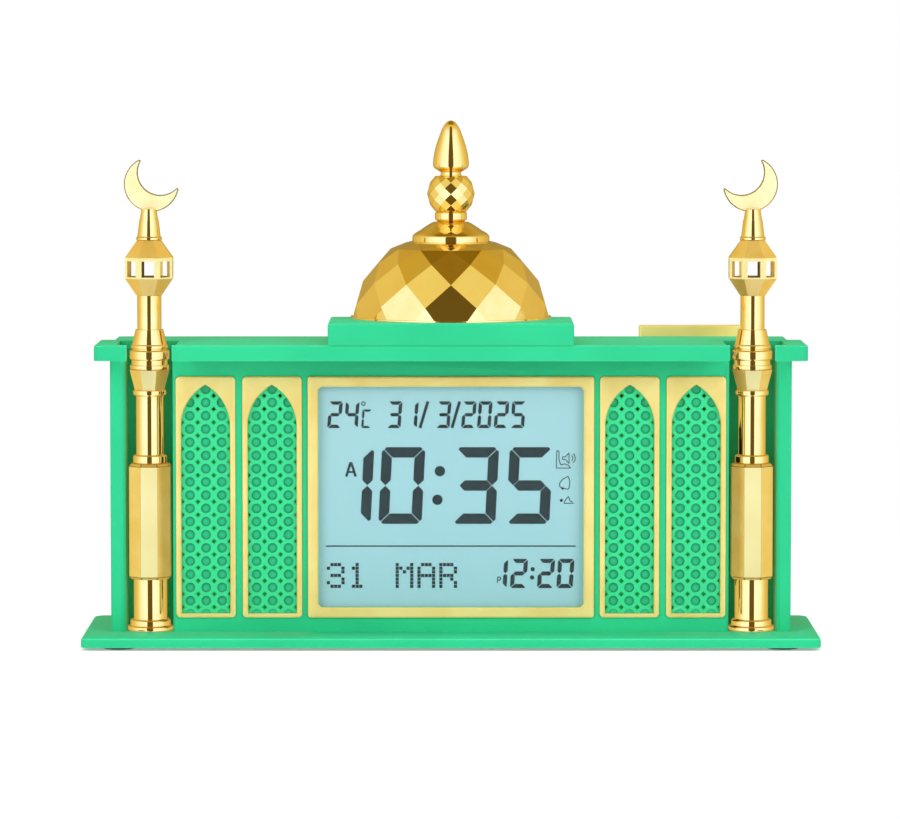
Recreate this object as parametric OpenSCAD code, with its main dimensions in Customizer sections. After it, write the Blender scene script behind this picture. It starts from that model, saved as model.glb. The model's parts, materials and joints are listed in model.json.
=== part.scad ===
// Table clock in the form of a mosque: a moulded case with a bar display, pierced
// arch panels, a faceted half dome and two free-standing minarets with crescents.
// Millimetres. X to the viewer's right, Y to the back, Z up. The origin is under
// the middle of the base, at the faces of the rubber feet.

/* [Display and arches] */
// Width of the display's bezel
bezel_w = 93.4; // [80:0.1:120]
// Height shared by the bezel and the arch frames
frame_h = 78.9; // [70:0.1:100]
// Side border of the bezel
bezel_side = 3.4; // [2:0.1:6]
// Lower and upper border of the bezel
bezel_end = 3.3; // [2:0.1:6]
// Width of one arch frame
arch_w = 19.4; // [16:0.1:30]
// Side border of an arch frame
arch_side = 1.7; // [1.2:0.1:3]
// Border under an arch
arch_foot = 1.3; // [1:0.1:3]
// Height of an arch's point under the top of its frame
arch_head = 2.65; // [1.5:0.05:8]
// Radius of the two arcs that form an arch's point
arch_r = 15.6; // [12:0.1:20]
// Space between the bezel and the inner arch frame
gap_inner = 1.9; // [1:0.1:5]
// Space between two arch frames
gap_arches = 2.3; // [1:0.1:6]
// Space between the outer arch frame and the panel's edge
gap_outer = 1.05; // [0.9:0.05:5]
// Thickness of the bezel
bezel_t = 1.7; // [1:0.1:3]
// Thickness of the arch frames
arch_t = 1.4; // [0.9:0.1:3]
// Depth of the shallow seats that the bezel and the frames lie in
seat_d = 0.5; // [0.2:0.1:0.8]

/* [Lattice in the arches] */
// Diameter of the round cups
cup_d = 3.1; // [2:0.1:4]
// Depth of the round cups
cup_depth = 0.9; // [0.3:0.1:1.2]
// Sideways distance from cup to cup
cup_px = 5.2; // [4:0.1:7]
// Upward distance from cup to cup
cup_pz = 4.33; // [4:0.01:7]
// Width across the corners of the small pierced diamonds
gem_d = 1.5; // [0.8:0.1:2]
// Thickness of the lattice plates
lattice_t = 1.7; // [1.2:0.1:3]

/* [Case] */
// Wall of the mouldings
wall = 2.2; // [1.6:0.1:3]
// Wall of the niches behind the minarets
niche_wall = 1.6; // [1.2:0.1:2]
// Height of the front wall under the bezel
wall_below = 4.7; // [4:0.1:12]
// Height of the front wall over the bezel
wall_above = 5.84; // [4:0.01:14]
// Width of the narrow posts beside the niches
post_w = 4.85; // [4:0.05:9]
// Radius of a post's inner front edge
post_r = 1.6; // [0.5:0.1:2.5]
// Depth of the front cover
front_d = 11.5; // [10:0.1:13]
// Depth of the rear housing
housing_d = 26.3; // [25:0.1:45]
// Depth of a niche
niche_d = 13.9; // [13:0.1:15]
// Width of the seat at the back of the rear housing
seat_w = 4.5; // [4:0.1:7]

/* [Base] */
// Thickness of the base
base_t = 3.4; // [3:0.1:8]
// How far the base reaches past the case at each side
base_side = 8.85; // [4:0.05:20]
// How far the base reaches in front of the front wall
base_front = 17; // [14:0.5:30]
// How far the base reaches behind the back cover
base_back = 3.5; // [1:0.5:20]
// Corner radius of the base
base_r = 2.8; // [2:0.1:8]
// Radius of the base's upper edge
base_edge = 1.2; // [0.4:0.1:2]
// Height of the rubber feet under the base
foot_h = 1; // [0.5:0.1:3]
// Radius of the rubber feet
foot_r = 5; // [3:0.1:8]

/* [Cornice and block] */
// Height of the cornice's front face
cornice_h = 5.08; // [4:0.02:10]
// How far the cornice reaches past the case at each side
cornice_side = 4.45; // [2:0.05:8]
// How far the cornice reaches in front of the front wall
cornice_front = 13; // [11:0.5:16]
// Thickness of the cornice's hanging lip
lip_t = 3; // [2:0.1:4]
// Length of the cornice's wings behind the front cover
wing_back = 7.2; // [2:0.1:20]
// Front corner radius of the cornice
cornice_r = 2.6; // [1:0.1:4]
// Radius of the upper edges of the cornice and the block
edge_r = 0.7; // [0.3:0.1:1.2]
// Width of the slot in the lip in front of a minaret
slot_w = 14.7; // [10:0.1:18]
// Width of the raised block under the dome
block_w = 79.7; // [72:0.1:110]
// Height of the raised block
block_h = 7.15; // [4:0.05:20]
// Depth of the raised block
block_d = 40; // [38:0.5:48]

/* [Dome and finial] */
// Radius of the dome's widest ring of points
dome_r = 32.2; // [26:0.1:34]
// Height of the dome from the block to the skirt's band
dome_h = 24.6; // [18:0.1:40]
// Distance from the dome's axis to its flat back
dome_back = 3.5; // [2:0.1:8]
// Wall of the dome
dome_wall = 2; // [1.2:0.1:3]
// Radius of the band on top of the dome
band_r = 12.7; // [11:0.1:14]
// Height of the skirt from the band's foot to the collar
skirt_h = 7; // [5:0.1:12]
// Radius of the collar under the ball
collar_r = 5.3; // [4:0.05:7]
// Height of the collar
collar_h = 3.4; // [2:0.1:6]
// Radius of the ball
ball_r = 7.85; // [6:0.05:10]
// Height of the ball
ball_h = 11.6; // [9:0.1:16]
// Height of the neck and spike over the ball
spike_h = 18.3; // [14:0.1:30]
// Largest radius of the spike
spike_r = 5.9; // [4:0.05:7]
// Radius of the rod through the finial
rod_r = 1.5; // [1:0.1:2]

/* [Minarets] */
// Radius of a minaret's foot
min_foot_r = 7.5; // [6.8:0.1:9]
// Radius of the lower shaft
low_r = 5.48; // [5.4:0.01:6]
// Height of the foot, its ring and the lower shaft
low_h = 16.9; // [12:0.1:24]
// Half width across the flats of the eight-sided sleeve
sleeve_a = 6.75; // [6.2:0.05:7.2]
// Height of the eight-sided sleeve
sleeve_h = 37.9; // [24:0.1:50]
// Radius of the middle shaft
mid_r = 4.46; // [4:0.01:5.2]
// Height of the middle shaft with its two rings
mid_h = 24.1; // [16:0.1:36]
// Height of the cup, the barrel and the collar
cup_h = 19.8; // [16:0.1:28]
// Radius of the upper shaft
top_r = 3.95; // [3.4:0.01:4.5]
// Height of the upper shaft
top_h = 11.1; // [6:0.1:20]
// Half width across the flats of the lantern
lantern_a = 7.75; // [6.8:0.05:9]
// Height of the lantern
lantern_h = 18; // [14:0.1:24]
// Width of a lantern's window
window_w = 4.08; // [3:0.02:4.6]
// Height of the cap over the lantern
cap_h = 10.2; // [8:0.1:16]
// Outer radius of a crescent
moon_r = 8.95; // [7:0.05:12]
// Radius of the circle cut from a crescent
moon_cut_r = 7.35; // [6:0.05:8]
// Distance between the two circles of a crescent
moon_shift = 4.85; // [3.6:0.05:6]
// Tilt of a crescent's opening from level
moon_tilt = 53; // [30:1:80]
// Thickness of a crescent
moon_t = 1.6; // [1:0.1:2.4]

/* [Bar button and set buttons] */
// Length of the bar button on top
bar_w = 38; // [25:0.5:50]
// Thickness of the bar button
bar_t = 4.9; // [4.5:0.1:8]
// Distance from the case's side to the bar button's outer end
bar_side = 10.45; // [8:0.05:16]
// Height of the bar button over the case
bar_up = 3.6; // [2:0.1:6]
// Travel of the bar button
bar_travel = 1.2; // [0.6:0.1:2]
// Radius of a set button
key_r = 4; // [3:0.1:5]
// Distance from one set button to the next
key_pitch = 16; // [13:0.5:20]
// Travel of a set button
key_travel = 0.8; // [0.4:0.1:1.2]

/* [Inner parts] */
// Diameter of an AA cell
cell_d = 14.2; // [13.5:0.1:14.5]
// Length of an AA cell
cell_l = 50.2; // [49:0.1:51]
// Free length of a battery spring in place
spring_l = 5; // [4:0.1:8]
// Wire radius of a battery spring
wire_r = 0.4; // [0.3:0.05:0.6]
// Outer radius of the loudspeaker
speaker_r = 18; // [15:0.5:20]
// Thickness of the display's glass
glass_t = 2.8; // [2:0.1:4]
// Thickness of the backlight
light_t = 4.5; // [3:0.1:5]
// Thickness of the circuit boards
board_t = 1.6; // [1:0.1:2]
// Radius of the case screws
screw_r = 1.4; // [1.2:0.1:1.6]
// Radius of the bosses that the case screws bite into
boss_r = 3.2; // [3:0.1:4]

/* [Clearances] */
// Running clearance round a moving part
run_gap = 0.3; // [0.2:0.05:0.5]
// Clearance round a piece that is pushed into its seat
fit_gap = 0.1; // [0.05:0.05:0.2]
// Clearance of a screw in a through hole
hole_gap = 0.2; // [0.1:0.05:0.4]

/* [Hidden] */
$fn = 48;
eps = 0.05;

// Widths, worked outwards from the display
bezel_x = bezel_w / 2;
inner_x = bezel_x + gap_inner + arch_w / 2;
outer_x = inner_x + arch_w + gap_arches;
panel_x = outer_x + arch_w / 2 + gap_outer;
foot_gap = 0.275;
niche_w = 2 * (min_foot_r + foot_gap);
niche_x = panel_x + niche_w;
column_x = panel_x + niche_w / 2;
body_x = niche_x + post_w;
base_x = body_x + base_side;
cornice_x = body_x + cornice_side;

// Depths, worked from front to back
cover_d = bar_t + 2 * run_gap + wall;
base_d = base_front + front_d + housing_d + cover_d + base_back;
front_y = base_front - base_d / 2;
inner_y = front_y + wall;
seam_y = front_y + front_d;
housing_y = seam_y + housing_d;
back_y = housing_y + cover_d;
back_in_y = back_y - wall;
niche_y = front_y + niche_d;
column_y = niche_y - min_foot_r - run_gap;
cornice_y = front_y - cornice_front;
block_y = cornice_y + block_d;
dome_y = block_y - dome_back;

// Heights, worked upwards from the feet
base_z = foot_h + base_t;
bezel_z = base_z + wall_below;
cornice_z = bezel_z + frame_h + wall_above;
top_z = cornice_z + cornice_h;
plate_z = top_z - wall;
block_z = top_z + block_h;
cover_z0 = base_z + 1.6;
cover_z1 = top_z - 2.4;

// Arch outline in the plane of the front, drawn from its foot
arch_a = arch_w / 2 - arch_side;
arch_foot_z = bezel_z + arch_foot;
arch_top_z = bezel_z + frame_h - arch_head;
arch_off = arch_r - arch_a;
arch_spring_z = arch_top_z - sqrt(arch_r * arch_r - arch_off * arch_off);

// Display stack behind the front wall
view_w = bezel_w - 2 * bezel_side;
view_h = frame_h - 2 * bezel_end;
view_z = bezel_z + frame_h / 2;
lens_over = 1;
lens_t = wall - seat_d - 0.8;
glass_w = view_w + 3;
glass_h = view_h + 3.6;
carrier_w = glass_w + 2.8;
carrier_h = glass_h + 2.4;
zebra_w = 1.4;
glass_y = inner_y + glass_t;
board_y = glass_y + light_t;
zebra_l = glass_w - 10;
zebra_z = glass_h / 2 - zebra_w / 2 - 0.2;
board_boss_r = 2.2;
board_x = carrier_w / 2 - board_boss_r;
board_boss_z = carrier_h / 2 + 0.3 + board_boss_r;
board_head_r = 1.9;
board_head_h = 1.3;

// Case screws: x and z of each, seen from the front
screw_points = [
    [column_x, base_z + 9.6], [column_x, top_z - 21],
    [-column_x, base_z + 9.6], [-column_x, top_z - 21],
    [bezel_x + 5.3, plate_z - boss_r - 1.5],
    [-bezel_x - 5.3, plate_z - boss_r - 1.5]
];
head_r = 2 * screw_r;
head_h = 2;
head_y = back_y - head_h - 2;
screw_bite = 12.6;
pilot_gap = 0.05;

// Set buttons and their board
key_z = top_z - 18.5;
key_x0 = -10 - 1.5 * key_pitch;
key_flange = 1.2;
key_out = key_travel + 0.1;
key_in_y = back_in_y - run_gap - 1.4 - 1;
key_top_y = key_in_y - key_travel - 0.2;
key_body = 3.1;
key_board_y = key_top_y - 0.9 - key_body;
key_board_h = 14;
key_posts = [key_x0 - 7.6, key_x0 + 3 * key_pitch + 7.6];
key_post_z = 4.6;

// Battery tray, with the cells side by side over one another,
// halfway between the floor of the back cover and the button board
tray_t = 1.6;
cell_gap = 0.4;
cell_pitch = cell_d + cell_gap;
contact_t = 0.5;
contact_w = 10;
tray_in_w = cell_l + spring_l + 2 * contact_t + 0.4;
tray_in_h = 3 * cell_pitch;
tray_x = body_x - 73.15;
tray_z = (cover_z0 + wall + key_z - key_board_h / 2) / 2;
cell_y = back_in_y - cell_gap / 2 - cell_d / 2;
tray_floor_y = cell_y - cell_d / 2 - cell_gap / 2;
door_over = 0.8;
door_w = tray_in_w + 2 * door_over - 2 * run_gap;
door_h = tray_in_h + 2 * door_over - 2 * run_gap;

// Bar button and its switch
bar_x = body_x - bar_side - bar_w;
bar_y = housing_y + run_gap;
bar_top_z = top_z + bar_up;
cover_in_z = cover_z1 - wall;
bar_flange_h = 2;
bar_flange_z = cover_in_z - run_gap - bar_flange_h;
nub_h = 0.7;
snooze_top_z = bar_flange_z - nub_h - bar_travel - 0.1;
snooze_x = bar_x + bar_w / 2;
snooze_body_h = 3.6;
snooze_plunger_h = 1.2;
snooze_board_z = snooze_top_z - snooze_plunger_h - snooze_body_h;

// Loudspeaker on the back cover
speaker_x = 49.15 - body_x;
speaker_z = base_z + 42;
basket_h = 9.4;
magnet_h = 5;

// Minaret levels
low_z = base_z + low_h;
sleeve_z = low_z + sleeve_h;
mid_z = sleeve_z + mid_h;
cup_z = mid_z + cup_h;
lantern_z = cup_z + top_h;
cap_z = lantern_z + lantern_h;
moon_z = cap_z + cap_h;
core_r = low_r - 0.5;
peg_r = 2.4;

// Finial levels
band_z = block_z + dome_h;
seat_z = band_z - 2.3;
skirt_z = band_z + skirt_h;
ball_z = skirt_z + collar_h;
spike_z = ball_z + ball_h;

// Ring levels of the dome as shares of its height, and the radii that keep its diamonds flat
dome_levels = [-0.7, -0.287, 0.185, 0.486, 0.744, 0.925, 1.002, 1.043];
dome_r2 = 0.901 * dome_r;
dome_r0 = flat_ring(dome_r2, dome_r, dome_levels[3], dome_levels[2], dome_levels[1]);
dome_rb = flat_ring(dome_r, dome_r0, dome_levels[2], dome_levels[1], dome_levels[0]);
dome_r3 = flat_ring(dome_r, dome_r2, dome_levels[2], dome_levels[3], dome_levels[4]);
dome_r4 = flat_ring(dome_r2, dome_r3, dome_levels[3], dome_levels[4], dome_levels[5]);
dome_radii = [
    dome_rb, dome_r0, dome_r, dome_r2, dome_r3, dome_r4, 0.475 * dome_r, 0.34 * dome_r
];

// Radii of the ball's rings from its middle outwards
ball_step = 14.5;
ball_r1 = ball_r * cos(ball_step);
ball_r2 = flat_ring(ball_r, ball_r1, 0, sin(ball_step), sin(2 * ball_step));
ball_r3 = flat_ring(ball_r1, ball_r2, sin(ball_step), sin(2 * ball_step), sin(3 * ball_step));
ball_r4 = flat_ring(ball_r2, ball_r3, sin(2 * ball_step), sin(3 * ball_step), sin(4 * ball_step));
ball_rings = [ball_r, ball_r1, ball_r2, ball_r3, ball_r4];

base_foot_x = base_x - 12;
base_foot_y = base_d / 2 - 9;
base_screw_x = column_x - 8.5;
base_screw_y = seam_y + 9.5;

// ---------- helpers ----------

// Flat outline stood up in the X-Z plane between two depths
module upright(y0, y1) {
    translate([0, y1, 0])
        rotate([90, 0, 0])
            linear_extrude(y1 - y0)
                children();
}

// Rectangle about the origin with round corners
module round_rect(w, h, r) {
    square([w - 2 * r, h], center = true);
    square([w, h - 2 * r], center = true);
    for (sx = [-1, 1], sy = [-1, 1])
        translate([sx * (w / 2 - r), sy * (h / 2 - r)])
            circle(r);
}

// Block with round plan corners and a rounded upper edge
module pillow(w, d, h, r, e) {
    hull() {
        linear_extrude(h - e)
            round_rect(w, d, r, $fn = 32);
        for (a = [30, 60, 90])
            translate([0, 0, h - e + e * sin(a) - 0.02])
                linear_extrude(0.02)
                    round_rect(w - 2 * e * (1 - cos(a)), d - 2 * e * (1 - cos(a)), r, $fn = 32);
    }
}

// Outline of a pointed arch, grown evenly by g
module arch(g = 0) {
    translate([-arch_a - g, arch_foot_z - g])
        square([2 * (arch_a + g), arch_spring_z - arch_foot_z + g]);
    intersection() {
        translate([-arch_off, arch_spring_z])
            circle(arch_r + g, $fn = 96);
        translate([arch_off, arch_spring_z])
            circle(arch_r + g, $fn = 96);
        translate([-arch_a - g, arch_spring_z - eps])
            square([2 * (arch_a + g), arch_r + g]);
    }
}

// Regular eight-sided post with a flat to the front, given its half width
module eight(a, h) {
    rotate(22.5)
        cylinder(r = a / cos(22.5), h = h, $fn = 8);
}

// Eight-sided taper between two half widths
module eight_taper(a0, a1, h) {
    rotate(22.5)
        cylinder(r1 = a0 / cos(22.5), r2 = a1 / cos(22.5), h = h, $fn = 8);
}

// Puts a piece on a minaret's axis: side -1 is the left one, 1 the right one
module at_column(side) {
    translate([side * column_x, column_y, 0])
        children();
}

// Unbroken coil from radius r0 to r1 with round wire
module coil(r0, r1, len, turns, wire) {
    steps = 12;
    sides = 6;
    rings = turns * steps;
    pts = [
        for (i = [0 : rings], j = [0 : sides - 1])
            let (t = i / rings, a = 360 * turns * t, r = r0 + (r1 - r0) * t)
            let (b = 360 * j / sides)
            [(r + wire * cos(b)) * cos(a), (r + wire * cos(b)) * sin(a), len * t + wire * sin(b)]
    ];
    body = [
        for (i = [0 : rings - 1], j = [0 : sides - 1])
            let (k = (j + 1) % sides)
            [i * sides + j, i * sides + k, (i + 1) * sides + k, (i + 1) * sides + j]
    ];
    first = [for (j = [0 : sides - 1]) sides - 1 - j];
    last = [for (j = [0 : sides - 1]) rings * sides + j];
    polyhedron(points = pts, faces = concat([first], body, [last]), convexity = 6);
}

// Point i of a ring of twelve; odd rings stand half a step round
function ring_point(r, z, odd, i) =
    [r * sin(30 * i + (odd ? 15 : 0)), -r * cos(30 * i + (odd ? 15 : 0)), z];

// Skin of diamonds through rings of twelve points, closed by a point above and below
module diamonds(radii, levels, low, high) {
    n = len(radii);
    pts = concat(
        [for (k = [0 : n - 1], i = [0 : 11]) ring_point(radii[k], levels[k], k % 2 == 1, i)],
        [[0, 0, low], [0, 0, high]]
    );
    foot = 12 * n;
    tip = 12 * n + 1;
    // each diamond is two triangles, above and below the line between its side corners
    halves = [
        for (k = [1 : n - 2], i = [0 : 11], s = [0, 1])
            let (right = 12 * k + (k % 2 == 0 ? (i + 1) % 12 : i))
            let (left = 12 * k + (k % 2 == 0 ? i : (i + 11) % 12))
            s == 0 ? [12 * (k + 1) + i, right, left] : [12 * (k - 1) + i, left, right]
    ];
    under = [
        for (i = [0 : 11], s = [0, 1])
            s == 0 ? [foot, i, 12 + i] : [foot, 12 + i, (i + 1) % 12]
    ];
    m = n - 1;
    over = [
        for (i = [0 : 11], s = [0, 1])
            m % 2 == 1
                ? (s == 0 ? [tip, 12 * m + i, 12 * (m - 1) + i]
                          : [tip, 12 * (m - 1) + (i + 1) % 12, 12 * m + i])
                : (s == 0 ? [tip, 12 * (m - 1) + i, 12 * m + i]
                          : [tip, 12 * m + (i + 1) % 12, 12 * (m - 1) + i])
    ];
    polyhedron(points = pts, faces = concat(halves, under, over), convexity = 4);
}

// Radius of the ring at level zc that keeps a diamond flat, given the rings at za and zb
function flat_ring(ra, rb, za, zb, zc) = ra + (rb * cos(15) - ra) * (zc - za) / (zb - za);

// ---------- base ----------

module base_plate() {
    color("#35d490")
        difference() {
            translate([0, 0, foot_h])
                pillow(2 * base_x, base_d, base_t, base_r, base_edge);
            for (sx = [-1, 1], sy = [-1, 1])
                translate([sx * base_foot_x, sy * base_foot_y, foot_h - 1])
                    cylinder(r = foot_r + fit_gap, h = 2);
            for (sx = [-1, 1]) {
                translate([sx * column_x, column_y, base_z - 2])
                    cylinder(r = peg_r + fit_gap, h = 3);
                translate([sx * base_screw_x, base_screw_y, 0])
                    cylinder(r = screw_r + hole_gap, h = base_z + 1);
                translate([sx * base_screw_x, base_screw_y, 0])
                    cylinder(r = head_r + hole_gap, h = foot_h + 1.8);
            }
        }
}

module rubber_feet() {
    color("#2b2b2b")
        for (sx = [-1, 1], sy = [-1, 1])
            translate([sx * base_foot_x, sy * base_foot_y, 0])
                cylinder(r = foot_r, h = foot_h + 1);
}

// Two long screws that hold the base to the rear housing
module base_screws() {
    color("#b8b8b8")
        for (sx = [-1, 1])
            translate([sx * base_screw_x, base_screw_y, foot_h])
                difference() {
                    union() {
                        cylinder(r = head_r, h = 1.8);
                        cylinder(r = screw_r, h = base_t + 7);
                    }
                    translate([0, 0, -0.1])
                        cross_slot(head_r);
                }
}

// Cross recess of a screw head, opening downwards
module cross_slot(r) {
    for (a = [0, 90])
        rotate(a)
            translate([-0.6 * r, -0.22 * r, 0])
                cube([1.2 * r, 0.44 * r, 1]);
}

// ---------- case ----------

// Plan outline of one side of the front cover
module front_plan() {
    square_x = panel_x - 0.8;
    translate([-1, front_y])
        square([square_x + 1, wall]);
    translate([square_x - 1, front_y + 0.8])
        square([1.8, wall - 0.8]);
    translate([square_x, front_y + 0.8])
        circle(0.8);
    translate([panel_x - niche_wall, front_y + 0.8])
        square([niche_wall, niche_d + niche_wall - 0.8]);
    translate([panel_x - niche_wall, niche_y])
        square([body_x - wall - 0.25 - panel_x + niche_wall, niche_wall]);
    translate([niche_x, front_y + post_r])
        square([body_x - wall - 0.25 - niche_x, niche_d + niche_wall - post_r]);
    translate([niche_x, front_y + post_r])
        square([post_w, front_d - post_r]);
    translate([niche_x + post_r, front_y])
        square([post_w - post_r - 0.8, front_d]);
    translate([niche_x + post_r, front_y + post_r])
        circle(post_r);
    translate([body_x - 0.8, front_y + 0.8])
        circle(0.8);
}

module front_cover() {
    color("#2ec483")
        difference() {
            union() {
                translate([0, 0, base_z])
                    linear_extrude(plate_z - base_z) {
                        front_plan();
                        mirror([1, 0])
                            front_plan();
                    }
                for (p = screw_points)
                    translate([p[0], housing_y - wall, p[1]])
                        rotate([90, 0, 0])
                            cylinder(r = boss_r, h = housing_y - wall
                                - (abs(p[0]) > panel_x ? niche_y + niche_wall / 2 : inner_y - wall / 2));
                for (sx = [-1, 1], sz = [-1, 1])
                    translate([sx * board_x, board_y, view_z + sz * board_boss_z])
                        rotate([90, 0, 0])
                            cylinder(r = board_boss_r, h = board_y - inner_y + wall / 2);
            }
            // opening for the lens, with a ledge behind it
            translate([0, 0, view_z])
                upright(front_y - 1, inner_y + 1)
                    round_rect(view_w, view_h, 1.7);
            translate([0, 0, view_z])
                upright(front_y - 1, front_y + seat_d + lens_t)
                    round_rect(view_w + 2 * lens_over, view_h + 2 * lens_over, 1.7);
            // shallow seat of the bezel
            translate([0, 0, view_z])
                upright(front_y - 1, front_y + seat_d)
                    round_rect(bezel_w + 2 * fit_gap, frame_h + 2 * fit_gap, 1);
            // seats and openings of the arches
            for (x = [-outer_x, -inner_x, inner_x, outer_x])
                translate([x, 0, 0]) {
                    translate([0, 0, view_z])
                        upright(front_y - 1, front_y + seat_d)
                            round_rect(arch_w + 2 * fit_gap, frame_h + 2 * fit_gap, 1.4);
                    upright(front_y - 1, inner_y + 1)
                        arch(0.4);
                }
            // pilots
            for (p = screw_points)
                translate([p[0], housing_y, p[1]])
                    rotate([90, 0, 0])
                        cylinder(r = screw_r + pilot_gap, h = wall + screw_bite + 3);
            for (sx = [-1, 1], sz = [-1, 1])
                translate([sx * board_x, board_y + 1, view_z + sz * board_boss_z])
                    rotate([90, 0, 0])
                        cylinder(r = 0.85, h = 6.2);
        }
}

// Cornice with its hanging lip, and the raised block that carries the dome
module cornice() {
    notch_x0 = panel_x - niche_wall;
    notch_x1 = body_x - wall - 0.25;
    slot_x = column_x - 0.95 - slot_w / 2;
    color("#35d490")
        difference() {
            union() {
                translate([0, 0, cornice_z])
                    cornice_slab();
                translate([0, (cornice_y + block_y) / 2, top_z])
                    block_shape();
            }
            // hollow behind the lip, which takes the top of the case between the wings
            translate([-body_x - 0.3, cornice_y + lip_t, cornice_z - 1])
                cube([2 * body_x + 0.6, block_d, plate_z - cornice_z + 1]);
            // hollow of the block
            translate([-block_w / 2 + wall, cornice_y + wall, plate_z - 1])
                cube([block_w - 2 * wall, block_d - 2 * wall, block_z - wall - plate_z + 1]);
            // openings round the minarets and slots in the lip
            for (sx = [0, 1])
                mirror([sx, 0, 0]) {
                    translate([notch_x0, cornice_y + lip_t, cornice_z - 1])
                        cube([notch_x1 - notch_x0, niche_y - cornice_y - lip_t, cornice_h + 2]);
                    translate([slot_x, cornice_y - 1, cornice_z - 1])
                        cube([slot_w, lip_t + 2, cornice_h + 2]);
                }
        }
}

// Slab with round front corners and a rounded upper edge
module cornice_slab() {
    d = seam_y + wing_back - cornice_y;
    difference() {
        translate([0, cornice_y + (d + 6) / 2, 0])
            pillow(2 * cornice_x, d + 6, cornice_h, cornice_r, edge_r);
        translate([-cornice_x - 1, cornice_y + d, -1])
            cube([2 * cornice_x + 2, 20, cornice_h + 2]);
    }
}

// Raised block, drawn about its own middle
module block_shape() {
    pillow(block_w, block_d, block_h, 0.9, edge_r);
}

module rear_housing() {
    h = top_z - base_z;
    color("#22b87a")
        difference() {
            union() {
                difference() {
                    translate([0, 0, base_z + h / 2])
                        upright(seam_y, housing_y)
                            round_rect(2 * body_x, h, 1);
                    translate([-body_x + wall, seam_y - 1, base_z + wall])
                        cube([2 * (body_x - wall), housing_d - wall + 1, h - 2 * wall]);
                    translate([-body_x + wall + seat_w, seam_y - 1, base_z + wall + 3])
                        cube([2 * (body_x - wall - seat_w), housing_d + 2, h - 2 * wall - 6.2]);
                }
                // pads round the case screws
                for (p = screw_points)
                    if (abs(p[0]) > panel_x)
                        translate([p[0] > 0 ? p[0] - 4.5 : -body_x + wall / 2, housing_y - wall, p[1] - 4.5])
                            cube([body_x - wall / 2 - abs(p[0]) + 4.5, wall, 9]);
                    else
                        translate([p[0] - 4.5, housing_y - wall, p[1] - 4.5])
                            cube([9, wall, plate_z + wall / 2 - p[1] + 4.5]);
                // posts for the base screws
                for (sx = [-1, 1])
                    translate([sx * base_screw_x, base_screw_y, base_z])
                        cylinder(r = boss_r, h = 10);
            }
            for (p = screw_points)
                translate([p[0], housing_y + 1, p[1]])
                    rotate([90, 0, 0])
                        cylinder(r = screw_r + hole_gap, h = wall + 2);
            for (sx = [-1, 1])
                translate([sx * base_screw_x, base_screw_y, base_z - 1])
                    cylinder(r = screw_r + pilot_gap, h = 9.5);
            // reliefs for the heads of the two lower board screws
            for (sx = [-1, 1])
                translate([sx * board_x, board_y + board_t + board_head_h + 0.3, view_z - board_boss_z])
                    rotate([90, 0, 0])
                        cylinder(r = board_head_r + hole_gap, h = front_d);
            // step under the rear edge of the cornice
            translate([-body_x - 1, seam_y - 1, plate_z])
                cube([2 * body_x + 2, wing_back + 1, wall + 1]);
            // the niches reach a little way into the floor
            for (sx = [0, 1])
                mirror([sx, 0, 0])
                    translate([panel_x - niche_wall - 0.2, seam_y - 1, base_z - 1])
                        cube([body_x - wall + 0.2 - panel_x + niche_wall,
                            niche_y + niche_wall - seam_y + 1.2, wall + 1.5]);
        }
}

module back_cover() {
    hw = body_x - 3.15;
    h = cover_z1 - cover_z0;
    cz = (cover_z0 + cover_z1) / 2;
    color("#22b87a")
        difference() {
            union() {
                difference() {
                    translate([0, 0, cz])
                        upright(housing_y, back_y)
                            round_rect(2 * hw, h, 3);
                    translate([-hw + wall, housing_y - 1, cover_z0 + wall])
                        cube([2 * (hw - wall), cover_d - wall + 1, h - 2 * wall]);
                }
                // screw towers
                for (p = screw_points)
                    translate([p[0], back_y - wall / 2, p[1]])
                        rotate([90, 0, 0])
                            cylinder(r = head_r + 1.4, h = back_y - wall / 2 - housing_y);
                // ring round the loudspeaker
                translate([speaker_x, back_in_y + wall / 2, speaker_z])
                    rotate([90, 0, 0])
                        difference() {
                            cylinder(r = speaker_r + 1.7, h = 2.6 + wall / 2);
                            translate([0, 0, -1])
                                cylinder(r = speaker_r + hole_gap, h = 8);
                        }
                // posts and pins of the button board
                for (x = key_posts, sz = [-1, 1])
                    translate([x, back_y - wall / 2, key_z + sz * key_post_z])
                        rotate([90, 0, 0]) {
                            cylinder(r = 2, h = back_y - wall / 2 - key_board_y);
                            cylinder(r = 0.9, h = back_y - wall / 2 - key_board_y + board_t + 0.6);
                        }
                // ledges under the bar button's switch
                for (sx = [-1, 1])
                    translate([snooze_x + sx * 8 - 1.5, bar_y, snooze_board_z - 1.2 - 4])
                        cube([3, back_in_y - bar_y + wall / 2, 4]);
            }
            // slot of the bar button
            translate([bar_x - run_gap, housing_y - 1, cover_in_z - 1])
                cube([bar_w + 2 * run_gap, back_in_y - housing_y + 1, wall + 2]);
            // set button holes
            for (i = [0 : 3])
                translate([key_x0 + i * key_pitch, back_y + 1, key_z])
                    rotate([90, 0, 0])
                        cylinder(r = key_r + run_gap, h = wall + 2);
            // battery opening
            translate([tray_x - door_w / 2 - run_gap, back_in_y - 1, tray_z - door_h / 2 - run_gap])
                cube([door_w + 2 * run_gap, wall + 2, door_h + 2 * run_gap]);
            // loudspeaker grille
            for (ring = [0 : 3], i = [0 : max(0, 6 * ring - 1)])
                translate([speaker_x, back_y + 1, speaker_z])
                    rotate([90, 360 * i / max(1, 6 * ring), 0])
                        translate([ring * 3.8, 0, 0])
                            cylinder(r = 1.1, h = wall + 2, $fn = 24);
            // screw holes
            for (p = screw_points)
                translate([p[0], back_y + 1, p[1]])
                    rotate([90, 0, 0]) {
                        cylinder(r = screw_r + hole_gap, h = cover_d + 2);
                        cylinder(r = head_r + hole_gap, h = back_y - head_y + 1);
                    }
        }
}

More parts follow.
